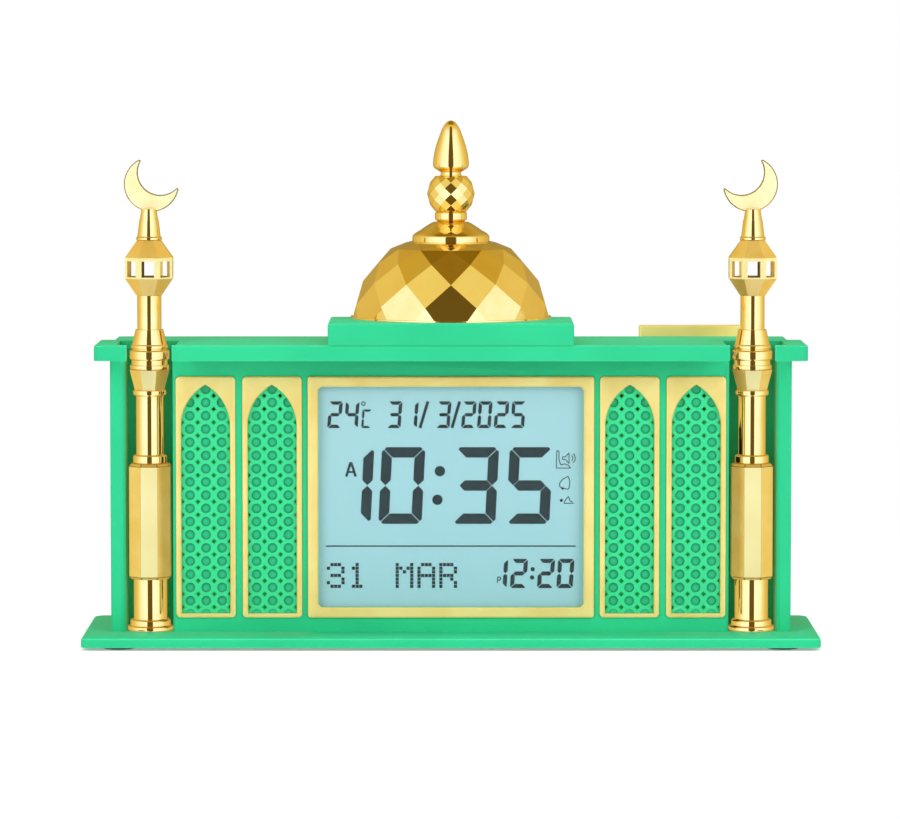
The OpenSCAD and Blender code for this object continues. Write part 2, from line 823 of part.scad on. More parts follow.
module case_screws() {
    tip_y = housing_y - wall - screw_bite;
    color("#b8b8b8")
        for (p = screw_points)
            translate([p[0], head_y, p[1]])
                rotate([-90, 0, 0])
                    difference() {
                        union() {
                            cylinder(r = head_r, h = head_h);
                            translate([0, 0, tip_y - head_y])
                                cylinder(r = screw_r, h = head_y - tip_y + 1);
                        }
                        translate([0, 0, head_h - 0.9])
                            cross_slot(head_r);
                    }
}

// ---------- display ----------

module lcd_bezel() {
    y0 = front_y + seat_d - bezel_t;
    e = 0.45;
    color("#f8dc82")
        difference() {
            hull() {
                translate([0, 0, view_z])
                    upright(y0 + e, front_y + seat_d)
                        round_rect(bezel_w, frame_h, 1, $fn = 32);
                translate([0, 0, view_z])
                    upright(y0, y0 + 0.1)
                        round_rect(bezel_w - 2 * e, frame_h - 2 * e, 0.8, $fn = 32);
            }
            translate([0, 0, view_z])
                upright(y0 - 1, front_y + seat_d + 1)
                    round_rect(view_w, view_h, 1.7);
            hull() {
                translate([0, 0, view_z])
                    upright(y0 - 0.1, y0)
                        round_rect(view_w + 2 * e, view_h + 2 * e, 2.1, $fn = 32);
                translate([0, 0, view_z])
                    upright(y0 + e, y0 + e + 0.1)
                        round_rect(view_w, view_h, 1.7, $fn = 32);
            }
        }
}

module lcd_window() {
    color("#dff1f2", 0.5)
        translate([0, 0, view_z])
            upright(front_y + seat_d, front_y + seat_d + lens_t)
                round_rect(view_w + 2 * lens_over - 2 * fit_gap, view_h + 2 * lens_over - 2 * fit_gap, 1.6);
}

module lcd_glass() {
    color("#9fd0d6")
        translate([-glass_w / 2, inner_y, view_z - glass_h / 2])
            cube([glass_w, glass_t, glass_h]);
}

module lcd_backlight() {
    light_h = glass_h - 2 * zebra_w - 1.2;
    color("#f4fbfb")
        translate([-glass_w / 2 + 1, glass_y, view_z - light_h / 2])
            cube([glass_w - 2, light_t, light_h]);
}

module lcd_carrier() {
    light_h = glass_h - 2 * zebra_w - 1.2;
    color("#f2f2ee")
        difference() {
            translate([0, 0, view_z])
                upright(inner_y, board_y)
                    round_rect(carrier_w, carrier_h, 1);
            translate([-glass_w / 2 - fit_gap, inner_y - 1, view_z - glass_h / 2 - fit_gap])
                cube([glass_w + 2 * fit_gap, glass_t + 1, glass_h + 2 * fit_gap]);
            translate([-glass_w / 2 + 1 - fit_gap, inner_y - 1, view_z - light_h / 2 - fit_gap])
                cube([glass_w - 2 + 2 * fit_gap, board_y - inner_y + 2, light_h + 2 * fit_gap]);
            for (sz = [-1, 1])
                translate([-zebra_l / 2 - fit_gap, inner_y, view_z + sz * zebra_z - zebra_w / 2 - fit_gap])
                    cube([zebra_l + 2 * fit_gap, board_y - inner_y + 1, zebra_w + 2 * fit_gap]);
        }
}

module zebra_strips() {
    color("#3a3a3a")
        for (sz = [-1, 1])
            translate([-zebra_l / 2, glass_y, view_z + sz * zebra_z - zebra_w / 2])
                cube([zebra_l, light_t, zebra_w]);
}

module main_board() {
    color("#1f7a4d")
        difference() {
            translate([0, 0, view_z])
                upright(board_y, board_y + board_t)
                    round_rect(carrier_w, 2 * (board_boss_z + board_boss_r), 1);
            for (sx = [-1, 1], sz = [-1, 1])
                translate([sx * board_x, board_y + board_t + 1, view_z + sz * board_boss_z])
                    rotate([90, 0, 0])
                        cylinder(r = 1.1, h = board_t + 2);
        }
}

// Chips, crystal and capacitors on the back of the main board
module main_chips() {
    y = board_y + board_t;
    color("#222222") {
        translate([-9, y, view_z - 6])
            cube([14, 1.4, 14]);
        translate([14, y, view_z + 8])
            cube([6, 1.5, 5]);
        translate([-24, y, view_z + 10])
            cube([8, 2.4, 3.2]);
        translate([-28, y, view_z - 12])
            rotate([-90, 0, 0])
                cylinder(r = 3.2, h = 5);
        translate([26, y, view_z - 14])
            rotate([-90, 0, 0])
                cylinder(r = 2.5, h = 6);
    }
}

module board_screws() {
    color("#b8b8b8")
        for (sx = [-1, 1], sz = [-1, 1])
            translate([sx * board_x, board_y + board_t, view_z + sz * board_boss_z])
                rotate([-90, 0, 0])
                    difference() {
                        union() {
                            cylinder(r = board_head_r, h = board_head_h);
                            translate([0, 0, -board_t - 4.8])
                                cylinder(r = 0.8, h = board_t + 5);
                        }
                        translate([0, 0, board_head_h - 0.6])
                            cross_slot(board_head_r);
                    }
}

// ---------- arches ----------

module arch_frame(x) {
    y0 = front_y + seat_d - arch_t;
    e = 0.4;
    color("#f8dc82")
        translate([x, 0, 0])
            difference() {
                hull() {
                    translate([0, 0, view_z])
                        upright(y0 + e, front_y + seat_d)
                            round_rect(arch_w, frame_h, 1.4, $fn = 32);
                    translate([0, 0, view_z])
                        upright(y0, y0 + 0.1)
                            round_rect(arch_w - 2 * e, frame_h - 2 * e, 1.1, $fn = 32);
                }
                upright(y0 - 1, front_y + seat_d + 1)
                    arch(0);
                hull() {
                    upright(y0 - 0.1, y0)
                        arch(0.3);
                    upright(y0 + 0.3, y0 + 0.4)
                        arch(0);
                }
            }
}

module left_outer_frame() { arch_frame(-outer_x); }
module left_inner_frame() { arch_frame(-inner_x); }
module right_inner_frame() { arch_frame(inner_x); }
module right_outer_frame() { arch_frame(outer_x); }

// Pierced plate behind an arch: rows of round cups with small diamonds between
module lattice(x) {
    y0 = inner_y - lattice_t + 0.3;
    cols = floor(arch_a / cup_px);
    rows = floor((arch_top_z - arch_foot_z) / cup_pz);
    z0 = arch_foot_z + 4.1;
    color("#3adb97")
        translate([x, 0, 0])
            difference() {
                union() {
                    upright(y0, inner_y + 0.01)
                        arch(0.2);
                    upright(inner_y, inner_y + 1)
                        arch(0.9);
                }
                // the pattern ends a little inside the arch, which leaves a plain rim
                intersection() {
                    upright(y0 - 1, inner_y + 2)
                        arch(-0.25);
                    union() {
                        for (i = [-cols : cols], k = [0 : rows - 1])
                            translate([i * cup_px, y0 + cup_depth, z0 + k * cup_pz])
                                rotate([90, 0, 0])
                                    cylinder(r = cup_d / 2, h = 1.5, $fn = 24);
                        for (i = [-cols - 1 : cols], k = [-1 : rows - 2])
                            translate([(i + 0.5) * cup_px, y0 + 4, z0 + (k + 0.5) * cup_pz])
                                rotate([90, 0, 0])
                                    cylinder(r = gem_d / 2, h = 6, $fn = 4);
                    }
                }
            }
}

module left_outer_lattice() { lattice(-outer_x); }
module left_inner_lattice() { lattice(-inner_x); }
module right_inner_lattice() { lattice(inner_x); }
module right_outer_lattice() { lattice(outer_x); }

// ---------- dome and finial ----------

// Solid of the dome's diamonds, shrunk by g, before it is cut flat
module dome_solid(g = 0) {
    rotate(15)
        diamonds(
            [for (r = dome_radii) r - g],
            [for (q = dome_levels) block_z + q * dome_h - (q > 0.5 ? g : g / 2)],
            block_z - 0.9 * dome_h, block_z + 1.06 * dome_h - g
        );
}

module dome_shell() {
    color("#fad76e")
        translate([0, dome_y, 0])
            difference() {
                union() {
                    intersection() {
                        dome_solid();
                        translate([-60, -60, block_z])
                            cube([120, 60 + dome_back, 2 * dome_h]);
                    }
                    intersection() {
                        translate([0, 0, block_z])
                            cylinder(r = dome_r + 0.9, h = 0.5, $fn = 96);
                        translate([-60, -60, block_z - 1])
                            cube([120, 60 + dome_back, dome_h]);
                    }
                }
                intersection() {
                    dome_solid(dome_wall);
                    translate([-60, -60, block_z - 1])
                        cube([120, 60 + dome_back - dome_wall, seat_z - dome_wall - block_z + 1]);
                }
                // round seat of the skirt, and the hole of the finial's rod
                translate([0, 0, seat_z])
                    cylinder(r = band_r + fit_gap, h = dome_h, $fn = 96);
                translate([0, 0, block_z])
                    cylinder(r = rod_r + fit_gap, h = dome_h + 1);
            }
}

module dome_skirt() {
    b = band_z - seat_z;
    color("#fad76e")
        translate([0, dome_y, seat_z])
            difference() {
                intersection() {
                    rotate_extrude($fn = 96)
                        polygon([
                            [0, 0], [band_r, 0], [band_r, b + 2.1], [band_r - 0.25, b + 2.6],
                            [band_r - 0.9, b + 0.46 * skirt_h], [collar_r + 4.8, b + 0.6 * skirt_h],
                            [collar_r + 3.5, b + 0.73 * skirt_h], [collar_r + 1.9, b + 0.88 * skirt_h],
                            [collar_r + 0.5, b + 0.985 * skirt_h],
                            [collar_r - 0.9, b + skirt_h], [0, b + skirt_h]
                        ]);
                    translate([-30, -30, -1])
                        cube([60, 30 + dome_back, skirt_h + b + 2]);
                }
                translate([0, 0, -1])
                    cylinder(r = rod_r + fit_gap, h = skirt_h + b + 2);
            }
}

module finial_collar() {
    color("#fad76e")
        translate([0, dome_y, skirt_z])
            rotate_extrude($fn = 64)
                polygon([
                    [rod_r + fit_gap, 0], [collar_r - 0.9, 0], [collar_r - 0.5, 0.4],
                    [collar_r, 0.8], [collar_r, collar_h - 0.6], [collar_r - 0.6, collar_h],
                    [rod_r + fit_gap, collar_h]
                ]);
}

module finial_ball() {
    color("#fad76e")
        translate([0, dome_y, ball_z])
            difference() {
                intersection() {
                    diamonds(
                        [for (s = [-4 : 4]) ball_rings[abs(s)]],
                        [for (s = [-4 : 4]) ball_h * (0.5 + 0.66 * sin(ball_step * s))],
                        -0.3 * ball_h, 1.3 * ball_h
                    );
                    cylinder(r = 2 * ball_r, h = ball_h);
                }
                translate([0, 0, -3])
                    cylinder(r = rod_r + fit_gap, h = ball_h + 6);
            }
}

// Neck and spike, with the rod that runs down through the finial
module finial_spike() {
    s = spike_r;
    k = spike_h / 18.3;
    color("#fad76e")
        translate([0, dome_y, 0]) {
            translate([0, 0, spike_z])
                rotate_extrude($fn = 64)
                    polygon([
                        [0, 0], [0.61 * s, 0], [0.61 * s, 0.3 * k], [0.57 * s, 0.4 * k],
                        [0.57 * s, 1.3 * k], [0.66 * s, 1.6 * k], [0.9 * s, 2.5 * k],
                        [0.98 * s, 3 * k], [s, 3.6 * k], [s, 4.6 * k], [0.975 * s, 6 * k],
                        [0.935 * s, 7.5 * k], [0.88 * s, 9 * k], [0.8 * s, 10.6 * k],
                        [0.725 * s, 11.9 * k], [0.64 * s, 13.3 * k], [0.555 * s, 14.7 * k],
                        [0.47 * s, 15.8 * k], [0.37 * s, 16.8 * k], [0.26 * s, 17.6 * k],
                        [0.14 * s, 18.1 * k], [0, spike_h]
                    ]);
            translate([0, 0, seat_z - 1])
                cylinder(r = rod_r, h = spike_z - seat_z + 2);
        }
}

// ---------- minarets ----------

module column(side) {
    color("#fad76e")
        at_column(side)
            translate([0, 0, base_z])
                union() {
                    translate([0, 0, -2])
                        cylinder(r = peg_r, h = 3);
                    rotate_extrude($fn = 64)
                        polygon([
                            [0, 0], [min_foot_r - 0.3, 0], [min_foot_r, 0.3], [min_foot_r, 1.2],
                            [min_foot_r - 0.3, 1.5], [low_r + 1.13, 1.6], [low_r + 1.13, 3.2],
                            [low_r + 0.8, 3.56], [low_r, 3.66], [low_r, low_h], [0, low_h]
                        ]);
                    cylinder(r = core_r, h = low_h + sleeve_h);
                }
}

module sleeve(side) {
    color("#fad76e")
        at_column(side)
            translate([0, 0, low_z])
                difference() {
                    union() {
                        eight_taper(sleeve_a - 0.7, sleeve_a, 0.7);
                        translate([0, 0, 0.7])
                            eight(sleeve_a, sleeve_h - 1.4);
                        translate([0, 0, sleeve_h - 0.7])
                            eight_taper(sleeve_a, sleeve_a - 0.7, 0.7);
                    }
                    translate([0, 0, -1])
                        cylinder(r = core_r + fit_gap, h = sleeve_h + 2);
                }
}

module shaft(side) {
    color("#fad76e")
        at_column(side)
            translate([0, 0, sleeve_z])
                rotate_extrude($fn = 64)
                    polygon([
                        [0, 0], [mid_r + 0.9, 0], [mid_r + 1.04, 0.3], [mid_r + 1.04, 2.4],
                        [mid_r + 0.8, 2.7], [mid_r, 2.9], [mid_r, mid_h - 1.95],
                        [mid_r + 0.7, mid_h - 1.75], [mid_r + 0.94, mid_h - 1.4],
                        [mid_r + 0.94, mid_h - 0.3], [mid_r + 0.7, mid_h], [peg_r, mid_h],
                        [peg_r, mid_h + 3], [0, mid_h + 3]
                    ]);
}

// Eight-sided cup, barrel, collar and upper shaft
module balcony(side) {
    k = cup_h / 19.8;
    color("#fad76e")
        at_column(side)
            translate([0, 0, mid_z])
                difference() {
                    union() {
                        eight_taper(4.7, 6.36, 6.6 * k);
                        translate([0, 0, 6.6 * k])
                            rotate_extrude($fn = 64)
                                polygon([
                                    [0, 0], [5.7, 0], [5.7, 0.2], [6.38, 0.3], [6.38, 1.5 * k],
                                    [5.88, 1.6 * k], [5.88, 3.2 * k], [6.4, 3.5 * k], [6.51, 3.9 * k],
                                    [6.51, 6 * k], [6.2, 6.4 * k], [5.6, 6.5 * k], [5.6, 6.9 * k],
                                    [6.05, 7.1 * k], [6.05, 7.9 * k], [5.69, 8.3 * k],
                                    [4.53, 13.2 * k], [top_r, 13.2 * k],
                                    [top_r, 13.2 * k + top_h], [0, 13.2 * k + top_h]
                                ]);
                        translate([0, 0, cup_h + top_h - 1])
                            cylinder(r = peg_r, h = 4);
                    }
                    translate([0, 0, -1])
                        cylinder(r = peg_r + fit_gap, h = 4.2);
                }
}

// Eight-sided lantern, hollow, with a window in each face
module lantern(side) {
    k = lantern_h / 18;
    band0 = 5.6 * k;
    band1 = 12.4 * k;
    color("#fad76e")
        at_column(side)
            translate([0, 0, lantern_z])
                difference() {
                    rotate(22.5)
                        rotate_extrude($fn = 8)
                            polygon([for (p = [[0, 0], [4.08, 0], [lantern_a, band0], [lantern_a, band1],
                                [3.88, lantern_h], [0, lantern_h]]) [p[0] / cos(22.5), p[1]]]);
                    translate([0, 0, band0 + 0.35 * k])
                        eight(lantern_a - 1.3, 5.5 * k);
                    for (a = [0, 45, 90, 135])
                        rotate(a)
                            translate([-window_w / 2, -12, band0 + 0.5 * k])
                                cube([window_w, 24, 5.2 * k]);
                    translate([0, 0, -1])
                        cylinder(r = peg_r + fit_gap, h = 4.2);
                    translate([0, 0, lantern_h - 3])
                        cylinder(r = peg_r + fit_gap, h = 4);
                }
}

module cap(side) {
    k = cap_h / 10.2;
    color("#fad76e")
        at_column(side)
            translate([0, 0, cap_z])
                difference() {
                    union() {
                        translate([0, 0, -2.8])
                            cylinder(r = peg_r, h = 4);
                        rotate_extrude($fn = 64)
                            polygon([
                                [0, 0], [3.9, 0], [4.23, 0.2], [4.23, 0.9 * k], [3.95, 1.1 * k],
                                [3.79, 1.25 * k], [3.2, 6.3 * k], [3.07, 6.7 * k], [2.95, 7 * k],
                                [2.48, cap_h], [0, cap_h]
                            ]);
                    }
                    translate([-5, -moon_t / 2 - pilot_gap, cap_h - 2.4])
                        cube([10, moon_t + 2 * pilot_gap, 3]);
                }
}

module crescent(side) {
    cx = -side * 0.85;
    color("#fbefb8")
        at_column(side)
            translate([cx, 0, moon_z + moon_r - 0.9]) {
                upright(-moon_t / 2, moon_t / 2)
                    difference() {
                        circle(moon_r, $fn = 96);
                        translate([-side * moon_shift * cos(moon_tilt), moon_shift * sin(moon_tilt)])
                            circle(moon_cut_r, $fn = 96);
                    }
                translate([-cx - 1.9, -moon_t / 2, -moon_r - 1.5])
                    cube([3.8, moon_t, 2.2]);
            }
}

module left_column() { column(-1); }
module left_sleeve() { sleeve(-1); }
module left_shaft() { shaft(-1); }
module left_balcony() { balcony(-1); }
module left_lantern() { lantern(-1); }
module left_cap() { cap(-1); }
module left_crescent() { crescent(-1); }
module right_column() { column(1); }
module right_sleeve() { sleeve(1); }
module right_shaft() { shaft(1); }
module right_balcony() { balcony(1); }
module right_lantern() { lantern(1); }
module right_cap() { cap(1); }
module right_crescent() { crescent(1); }

// ---------- loudspeaker ----------

// Local z runs inwards from the back cover's inner face
module at_speaker() {
    translate([speaker_x, back_in_y, speaker_z])
        rotate([90, 0, 0])
            children();
}

module speaker_frame() {
    r = speaker_r;
    color("#777777")
        at_speaker()
            rotate_extrude($fn = 64)
                polygon([
                    [r - 3.2, 0], [r, 0], [r, 1.4], [r - 2, 1.4], [r - 7, basket_h - 1.4],
                    [r - 7, basket_h], [3, basket_h], [3, basket_h - 1.4], [r - 8, basket_h - 1.4],
                    [r - 3.2, 1.6]
                ]);
}

module speaker_cone() {
    r = speaker_r;
    color("#222222")
        at_speaker()
            rotate_extrude($fn = 64)
                polygon([
                    [0, basket_h - 3], [4, basket_h - 3], [r - 4.4, 0.6], [r - 3.2, 0.6],
                    [r - 3.2, 1.2], [r - 4.2, 1.3], [4.4, basket_h - 2.2], [0, basket_h - 2.2]
                ]);
}

module speaker_magnet() {
    color("#444444")
        at_speaker()
            translate([0, 0, basket_h])
                cylinder(r = speaker_r / 2, h = magnet_h);
}

// ---------- battery bay ----------

module battery_tray() {
    w = tray_in_w + 2 * tray_t;
    h = tray_in_h + 2 * tray_t;
    color("#2b2b2b")
        difference() {
            union() {
                translate([tray_x - w / 2, tray_floor_y - tray_t, tray_z - h / 2])
                    cube([w, back_in_y - tray_floor_y + tray_t, h]);
                translate([tray_x - w / 2 - 3, back_in_y - 1.5, tray_z - h / 2 - 3])
                    cube([w + 6, 1.5, h + 6]);
            }
            translate([tray_x - tray_in_w / 2, tray_floor_y, tray_z - tray_in_h / 2])
                cube([tray_in_w, back_in_y - tray_floor_y + 1, tray_in_h]);
        }
}

module battery_cells() {
    color("#3f6fb5")
        for (i = [-1 : 1])
            translate([tray_x + tray_in_w / 2 - contact_t - 0.1 - cell_l, cell_y, tray_z + i * cell_pitch])
                rotate([0, 90, 0]) {
                    cylinder(r = cell_d / 2, h = cell_l - 1.2);
                    cylinder(r = 2.7, h = cell_l);
                }
}

module battery_springs() {
    color("#c8c8c8")
        for (i = [-1 : 1])
            translate([tray_x - tray_in_w / 2 + contact_t + wire_r + 0.1, cell_y, tray_z + i * cell_pitch])
                rotate([0, 90, 0])
                    coil(4.4, 2.6, spring_l - 2 * wire_r, 4, wire_r);
}

module battery_contacts() {
    color("#c8c8c8")
        for (i = [-1 : 1], s = [-1, 1])
            translate([tray_x + s * (tray_in_w - contact_t) / 2, cell_y, tray_z + i * cell_pitch])
                cube([contact_t, contact_w, contact_w], center = true);
}

module battery_door() {
    color("#22b87a")
        difference() {
            translate([tray_x, 0, tray_z])
                upright(back_in_y, back_y)
                    round_rect(door_w, door_h, 0.8);
            // finger notch
            translate([tray_x - 6, back_y - 1.2, tray_z + door_h / 2 - 4])
                cube([12, 3, 2.4]);
        }
}

// ---------- buttons ----------

module button_board() {
    w = 3 * key_pitch + 20;
    mid_x = key_x0 + 1.5 * key_pitch;
    color("#1f7a4d") {
        difference() {
            translate([mid_x, 0, key_z])
                upright(key_board_y - board_t, key_board_y)
                    round_rect(w, key_board_h, 1);
            for (x = key_posts, sz = [-1, 1])
                translate([x, key_board_y + 1, key_z + sz * key_post_z])
                    rotate([90, 0, 0])
                        cylinder(r = 0.9 + pilot_gap, h = board_t + 2);
        }
        for (i = [0 : 3])
            translate([key_x0 + i * key_pitch, key_board_y - 0.01, key_z]) {
                translate([-3, 0, -3])
                    cube([6, key_body, 6]);
                rotate([-90, 0, 0])
                    cylinder(r = 1.7, h = key_top_y - key_board_y);
            }
    }
}

module snooze_switch() {
    color("#1f7a4d") {
        translate([snooze_x - 10, bar_y, snooze_board_z - 1.2])
            cube([20, bar_t, 1.2]);
        translate([snooze_x - 3, bar_y + 0.2, snooze_board_z - 0.01])
            cube([6, bar_t - 0.4, snooze_body_h + 0.01]);
        translate([snooze_x, bar_y + bar_t / 2, snooze_board_z])
            cylinder(r = 1.5, h = snooze_body_h + snooze_plunger_h);
    }
}

module snooze_bar() {
    color("#fad76e")
        union() {
            translate([snooze_x, bar_y + bar_t / 2, bar_flange_z + bar_flange_h - 0.01])
                pillow(bar_w, bar_t, bar_top_z - bar_flange_z - bar_flange_h + 0.01, 0.8, 0.6);
            translate([bar_x - 2.5, bar_y, bar_flange_z])
                cube([bar_w + 5, bar_t, bar_flange_h]);
            translate([snooze_x, bar_y + bar_t / 2, bar_flange_z - nub_h])
                cylinder(r = 1.8, h = nub_h + 1);
        }
}

module set_button(i) {
    l = back_y + key_out - key_in_y;
    color("#e8e8e4")
        translate([key_x0 + i * key_pitch, key_in_y, key_z])
            rotate([-90, 0, 0])
                rotate_extrude($fn = 48)
                    polygon([
                        [0, 0], [key_r - 1, 0], [key_r - 1, 1], [key_r + key_flange, 1],
                        [key_r + key_flange, 2.4], [key_r, 2.4], [key_r, l - 0.5],
                        [key_r - 0.5, l - 0.1], [key_r - 1.2, l], [0, l]
                    ]);
}

module set_button_1() { set_button(0); }
module set_button_2() { set_button(1); }
module set_button_3() { set_button(2); }
module set_button_4() { set_button(3); }

// ---------- drawing ----------

base_plate();
rubber_feet();
base_screws();
front_cover();
cornice();
rear_housing();
back_cover();
case_screws();
lcd_bezel();
lcd_window();
lcd_glass();
lcd_backlight();
lcd_carrier();
zebra_strips();
main_board();
main_chips();
board_screws();
left_outer_frame();
left_inner_frame();
right_inner_frame();
right_outer_frame();
left_outer_lattice();
left_inner_lattice();
right_inner_lattice();
right_outer_lattice();
dome_shell();
dome_skirt();
finial_collar();
finial_ball();
finial_spike();
left_column();
left_sleeve();
left_shaft();
left_balcony();
left_lantern();
left_cap();
left_crescent();
right_column();
right_sleeve();
right_shaft();
right_balcony();
right_lantern();
right_cap();
right_crescent();
speaker_frame();
speaker_cone();
speaker_magnet();
battery_tray();
battery_cells();
battery_springs();
battery_contacts();
button_board();
snooze_switch();
snooze_bar();
set_button_1();
set_button_2();
set_button_3();
set_button_4();
battery_door();
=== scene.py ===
"""Looks of a mosque-shaped table clock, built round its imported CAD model."""

import json
import math

import bmesh
import bpy
from bpy.props import FloatProperty, FloatVectorProperty, IntProperty, PointerProperty
from mathutils import Matrix, Vector


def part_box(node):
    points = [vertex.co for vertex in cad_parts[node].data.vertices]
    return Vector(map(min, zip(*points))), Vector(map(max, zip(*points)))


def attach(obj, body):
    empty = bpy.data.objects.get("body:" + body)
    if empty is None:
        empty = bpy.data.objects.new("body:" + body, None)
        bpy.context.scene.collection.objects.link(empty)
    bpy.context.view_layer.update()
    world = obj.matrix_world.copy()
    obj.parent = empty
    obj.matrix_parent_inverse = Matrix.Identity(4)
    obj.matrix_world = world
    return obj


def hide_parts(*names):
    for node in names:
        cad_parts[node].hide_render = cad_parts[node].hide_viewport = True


bl_info = {
    "name": "Mosque Clock Looks",
    "version": (1, 0, 0),
    "blender": (4, 5, 0),
    "location": "View3D > Sidebar > Clock",
    "description": "Finishes, turned gold parts, readout and stage of a mosque-shaped clock",
    "category": "Object",
}

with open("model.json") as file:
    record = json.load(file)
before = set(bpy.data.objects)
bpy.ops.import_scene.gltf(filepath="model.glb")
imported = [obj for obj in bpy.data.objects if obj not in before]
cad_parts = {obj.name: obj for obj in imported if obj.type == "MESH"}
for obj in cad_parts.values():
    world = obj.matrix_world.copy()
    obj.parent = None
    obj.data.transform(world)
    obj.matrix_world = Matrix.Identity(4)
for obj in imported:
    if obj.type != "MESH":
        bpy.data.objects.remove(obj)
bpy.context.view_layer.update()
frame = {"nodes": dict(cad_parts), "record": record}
NODES = frame["nodes"]
CASE = "clock"
MM = 0.001
SIDES = {"left": -1, "right": 1}

# Sizes of the pieces, in mm.
# The cups of a lattice: their pitch across and upwards, and the height of the lowest row
CUP_PITCH = (5.2, 4.33)
FIRST_CUP = 14.5
# The sheet behind a lattice's holes, which stands in for the shade seen through them and shows the
# holes' painted shade: thickness, depth in the plate, margins to the plate
SHEET_T = 0.1
SHEET_DEPTH = 1.0
SHEET_SIDE = 1.5
SHEET_FOOT = 1.5
SHEET_TOP = 10.5
# The eight-sided cup at a balcony's foot: height, half widths at its foot and its top
BALCONY_FOOT = 6.6
BALCONY_CUP = (4.7, 6.36)
# How far to either side of a lantern's axis its reveals get painted shade
WINDOW_REACH = 2.5
# Rounding of the edges between facets, of the sleeves' edges and of the bar button's
FACET_EDGE = 0.1
SLEEVE_EDGE = 0.22
BAR_EDGE = 0.2
# Crescent: outer radius, radius of the cut, distance between their middles, radius of the
# tips and of the rim; and how steeply its opening points up
MOON = (8.95, 7.35, 4.85, 0.42, 0.36)
MOON_TILT = math.radians(53)
# Its middle lies this far from the cap's axis, and its tongue has this width and height,
# reaches this far below it and is this much thinner
MOON_ASIDE = 0.85
TONGUE_W = 3.8
TONGUE_H = 2.2
TONGUE_DEPTH = 1.5
TONGUE_SLACK = 0.1
# (radius, height over the foot) of the turned parts
PROFILES = {
    "column": (
        (0, 0), (2.4, 0), (2.4, 2), (7.2, 2), (7.5, 2.3), (7.5, 3.2), (7.2, 3.5), (6.61, 3.6),
        (6.61, 5.2), (6.28, 5.56), (5.48, 5.66), (5.48, 18.9), (4.98, 18.9), (4.98, 56.8),
        (0, 56.8),
    ),
    "shaft": (
        (0, 0), (5.36, 0), (5.5, 0.3), (5.5, 2.4), (5.26, 2.7), (4.46, 2.9), (4.46, 22.15),
        (5.16, 22.35), (5.4, 22.7), (5.4, 23.8), (5.16, 24.1), (2.4, 24.1), (2.4, 27.1),
        (0, 27.1),
    ),
    "balcony": (
        (0, 6.6), (5.7, 6.6), (5.7, 6.8), (6.38, 6.9), (6.38, 8.1), (5.88, 8.2), (5.88, 9.8),
        (6.4, 10.1), (6.51, 10.5), (6.51, 12.6), (6.2, 13), (5.6, 13.1), (5.6, 13.5),
        (6.05, 13.7), (6.05, 14.5), (5.69, 14.9), (4.53, 19.8), (3.95, 19.8), (3.95, 30.9),
        (2.4, 30.9), (2.4, 33.9), (0, 33.9),
    ),
    "cap": (
        (0, 0), (2.4, 0), (2.4, 2.8), (3.9, 2.8), (4.23, 3), (4.23, 3.7), (3.95, 3.9),
        (3.79, 4.05), (3.2, 9.1), (3.07, 9.5), (2.95, 9.8), (2.48, 13), (0, 13),
    ),
    "dome_skirt": (
        (0, 0), (12.7, 0), (12.7, 4.4), (12.45, 4.9), (11.8, 5.52), (10.1, 6.5), (8.8, 7.41),
        (7.2, 8.46), (5.8, 9.195), (4.4, 9.3), (0, 9.3),
    ),
    "finial_collar": (
        (0, 0), (4.4, 0), (4.8, 0.4), (5.3, 0.8), (5.3, 2.8), (4.7, 3.4), (0, 3.4),
    ),
    "finial_spike": (
        (0, 0), (1.5, 0), (1.5, 25.3), (3.6, 25.3), (3.6, 25.6), (3.36, 25.7), (3.36, 26.6),
        (3.89, 26.9), (5.31, 27.8), (5.78, 28.3), (5.9, 28.9), (5.9, 29.9), (5.75, 31.3),
        (5.52, 32.8), (5.19, 34.3), (4.72, 35.9), (4.28, 37.2), (3.78, 38.6), (3.27, 40),
        (2.77, 41.1), (2.18, 42.1), (1.53, 42.9), (0.83, 43.4), (0, 43.6),
    ),
}

# Edges flatter than this many degrees are smoothed, on pieces with facets and on others;
# rings of turned parts and edges of mouldings that are sharper than these are rounded
FACETED = 5
ROUNDED = 28
RING_ANGLE = 22
EDGE_ANGLE = 30

# The stage, in metres: half the floor's size, where it fades to pure white round the clock,
# and the place and size of the lamps, which point at the clock's middle
FLOOR_SIZE = 3
FLOOR_FADE = (0.2, 0.42)
FRONT_LAMP = (0.95, -1.15, 0.75)
FRONT_LAMP_SIZE = (0.9, 0.9)
TOP_LAMP = (0, -0.1, 1.4)
TOP_LAMP_SIZE = (1.4, 1.0)
LAMP_TARGET = (0, 0, 0.08)

GREEN_NODES = (
    "base_plate", "front_cover", "cornice", "rear_housing", "back_cover", "battery_door",
)
LATTICES = tuple(f"{side}_{row}_lattice" for side in SIDES for row in ("outer", "inner"))
FRAMES = tuple(f"{side}_{row}_frame" for side in SIDES for row in ("outer", "inner"))
BODY_OF = {
    node: body
    for body, nodes in frame["record"]["behaviour"]["bodies"].items()
    for node in nodes
}
SLOT_OF = {row["node"]: row["material_slot"] for row in frame["record"]["subparts"]}


# ---------- colour and node helpers ----------

def linear(hex_colour):
    """Turns an sRGB hex colour into linear RGBA."""
    channels = [int(hex_colour[i:i + 2], 16) / 255 for i in (1, 3, 5)]
    return tuple(
        c / 12.92 if c <= 0.04045 else ((c + 0.055) / 1.055) ** 2.4 for c in channels
    ) + (1.0,)


def per_mm(size):
    """Texture scale at which one cell of a pattern is size millimetres."""
    return 1 / (size * MM)


def add(tree, kind, inputs=None, **settings):
    """Adds a node: settings are its properties, inputs its values or the sockets to link."""
    made = tree.nodes.new(kind)
    for name, value in settings.items():
        setattr(made, name, value)
    for name, value in (inputs or {}).items():
        if isinstance(value, bpy.types.NodeSocket):
            tree.links.new(value, made.inputs[name])
        else:
            made.inputs[name].default_value = value
    return made


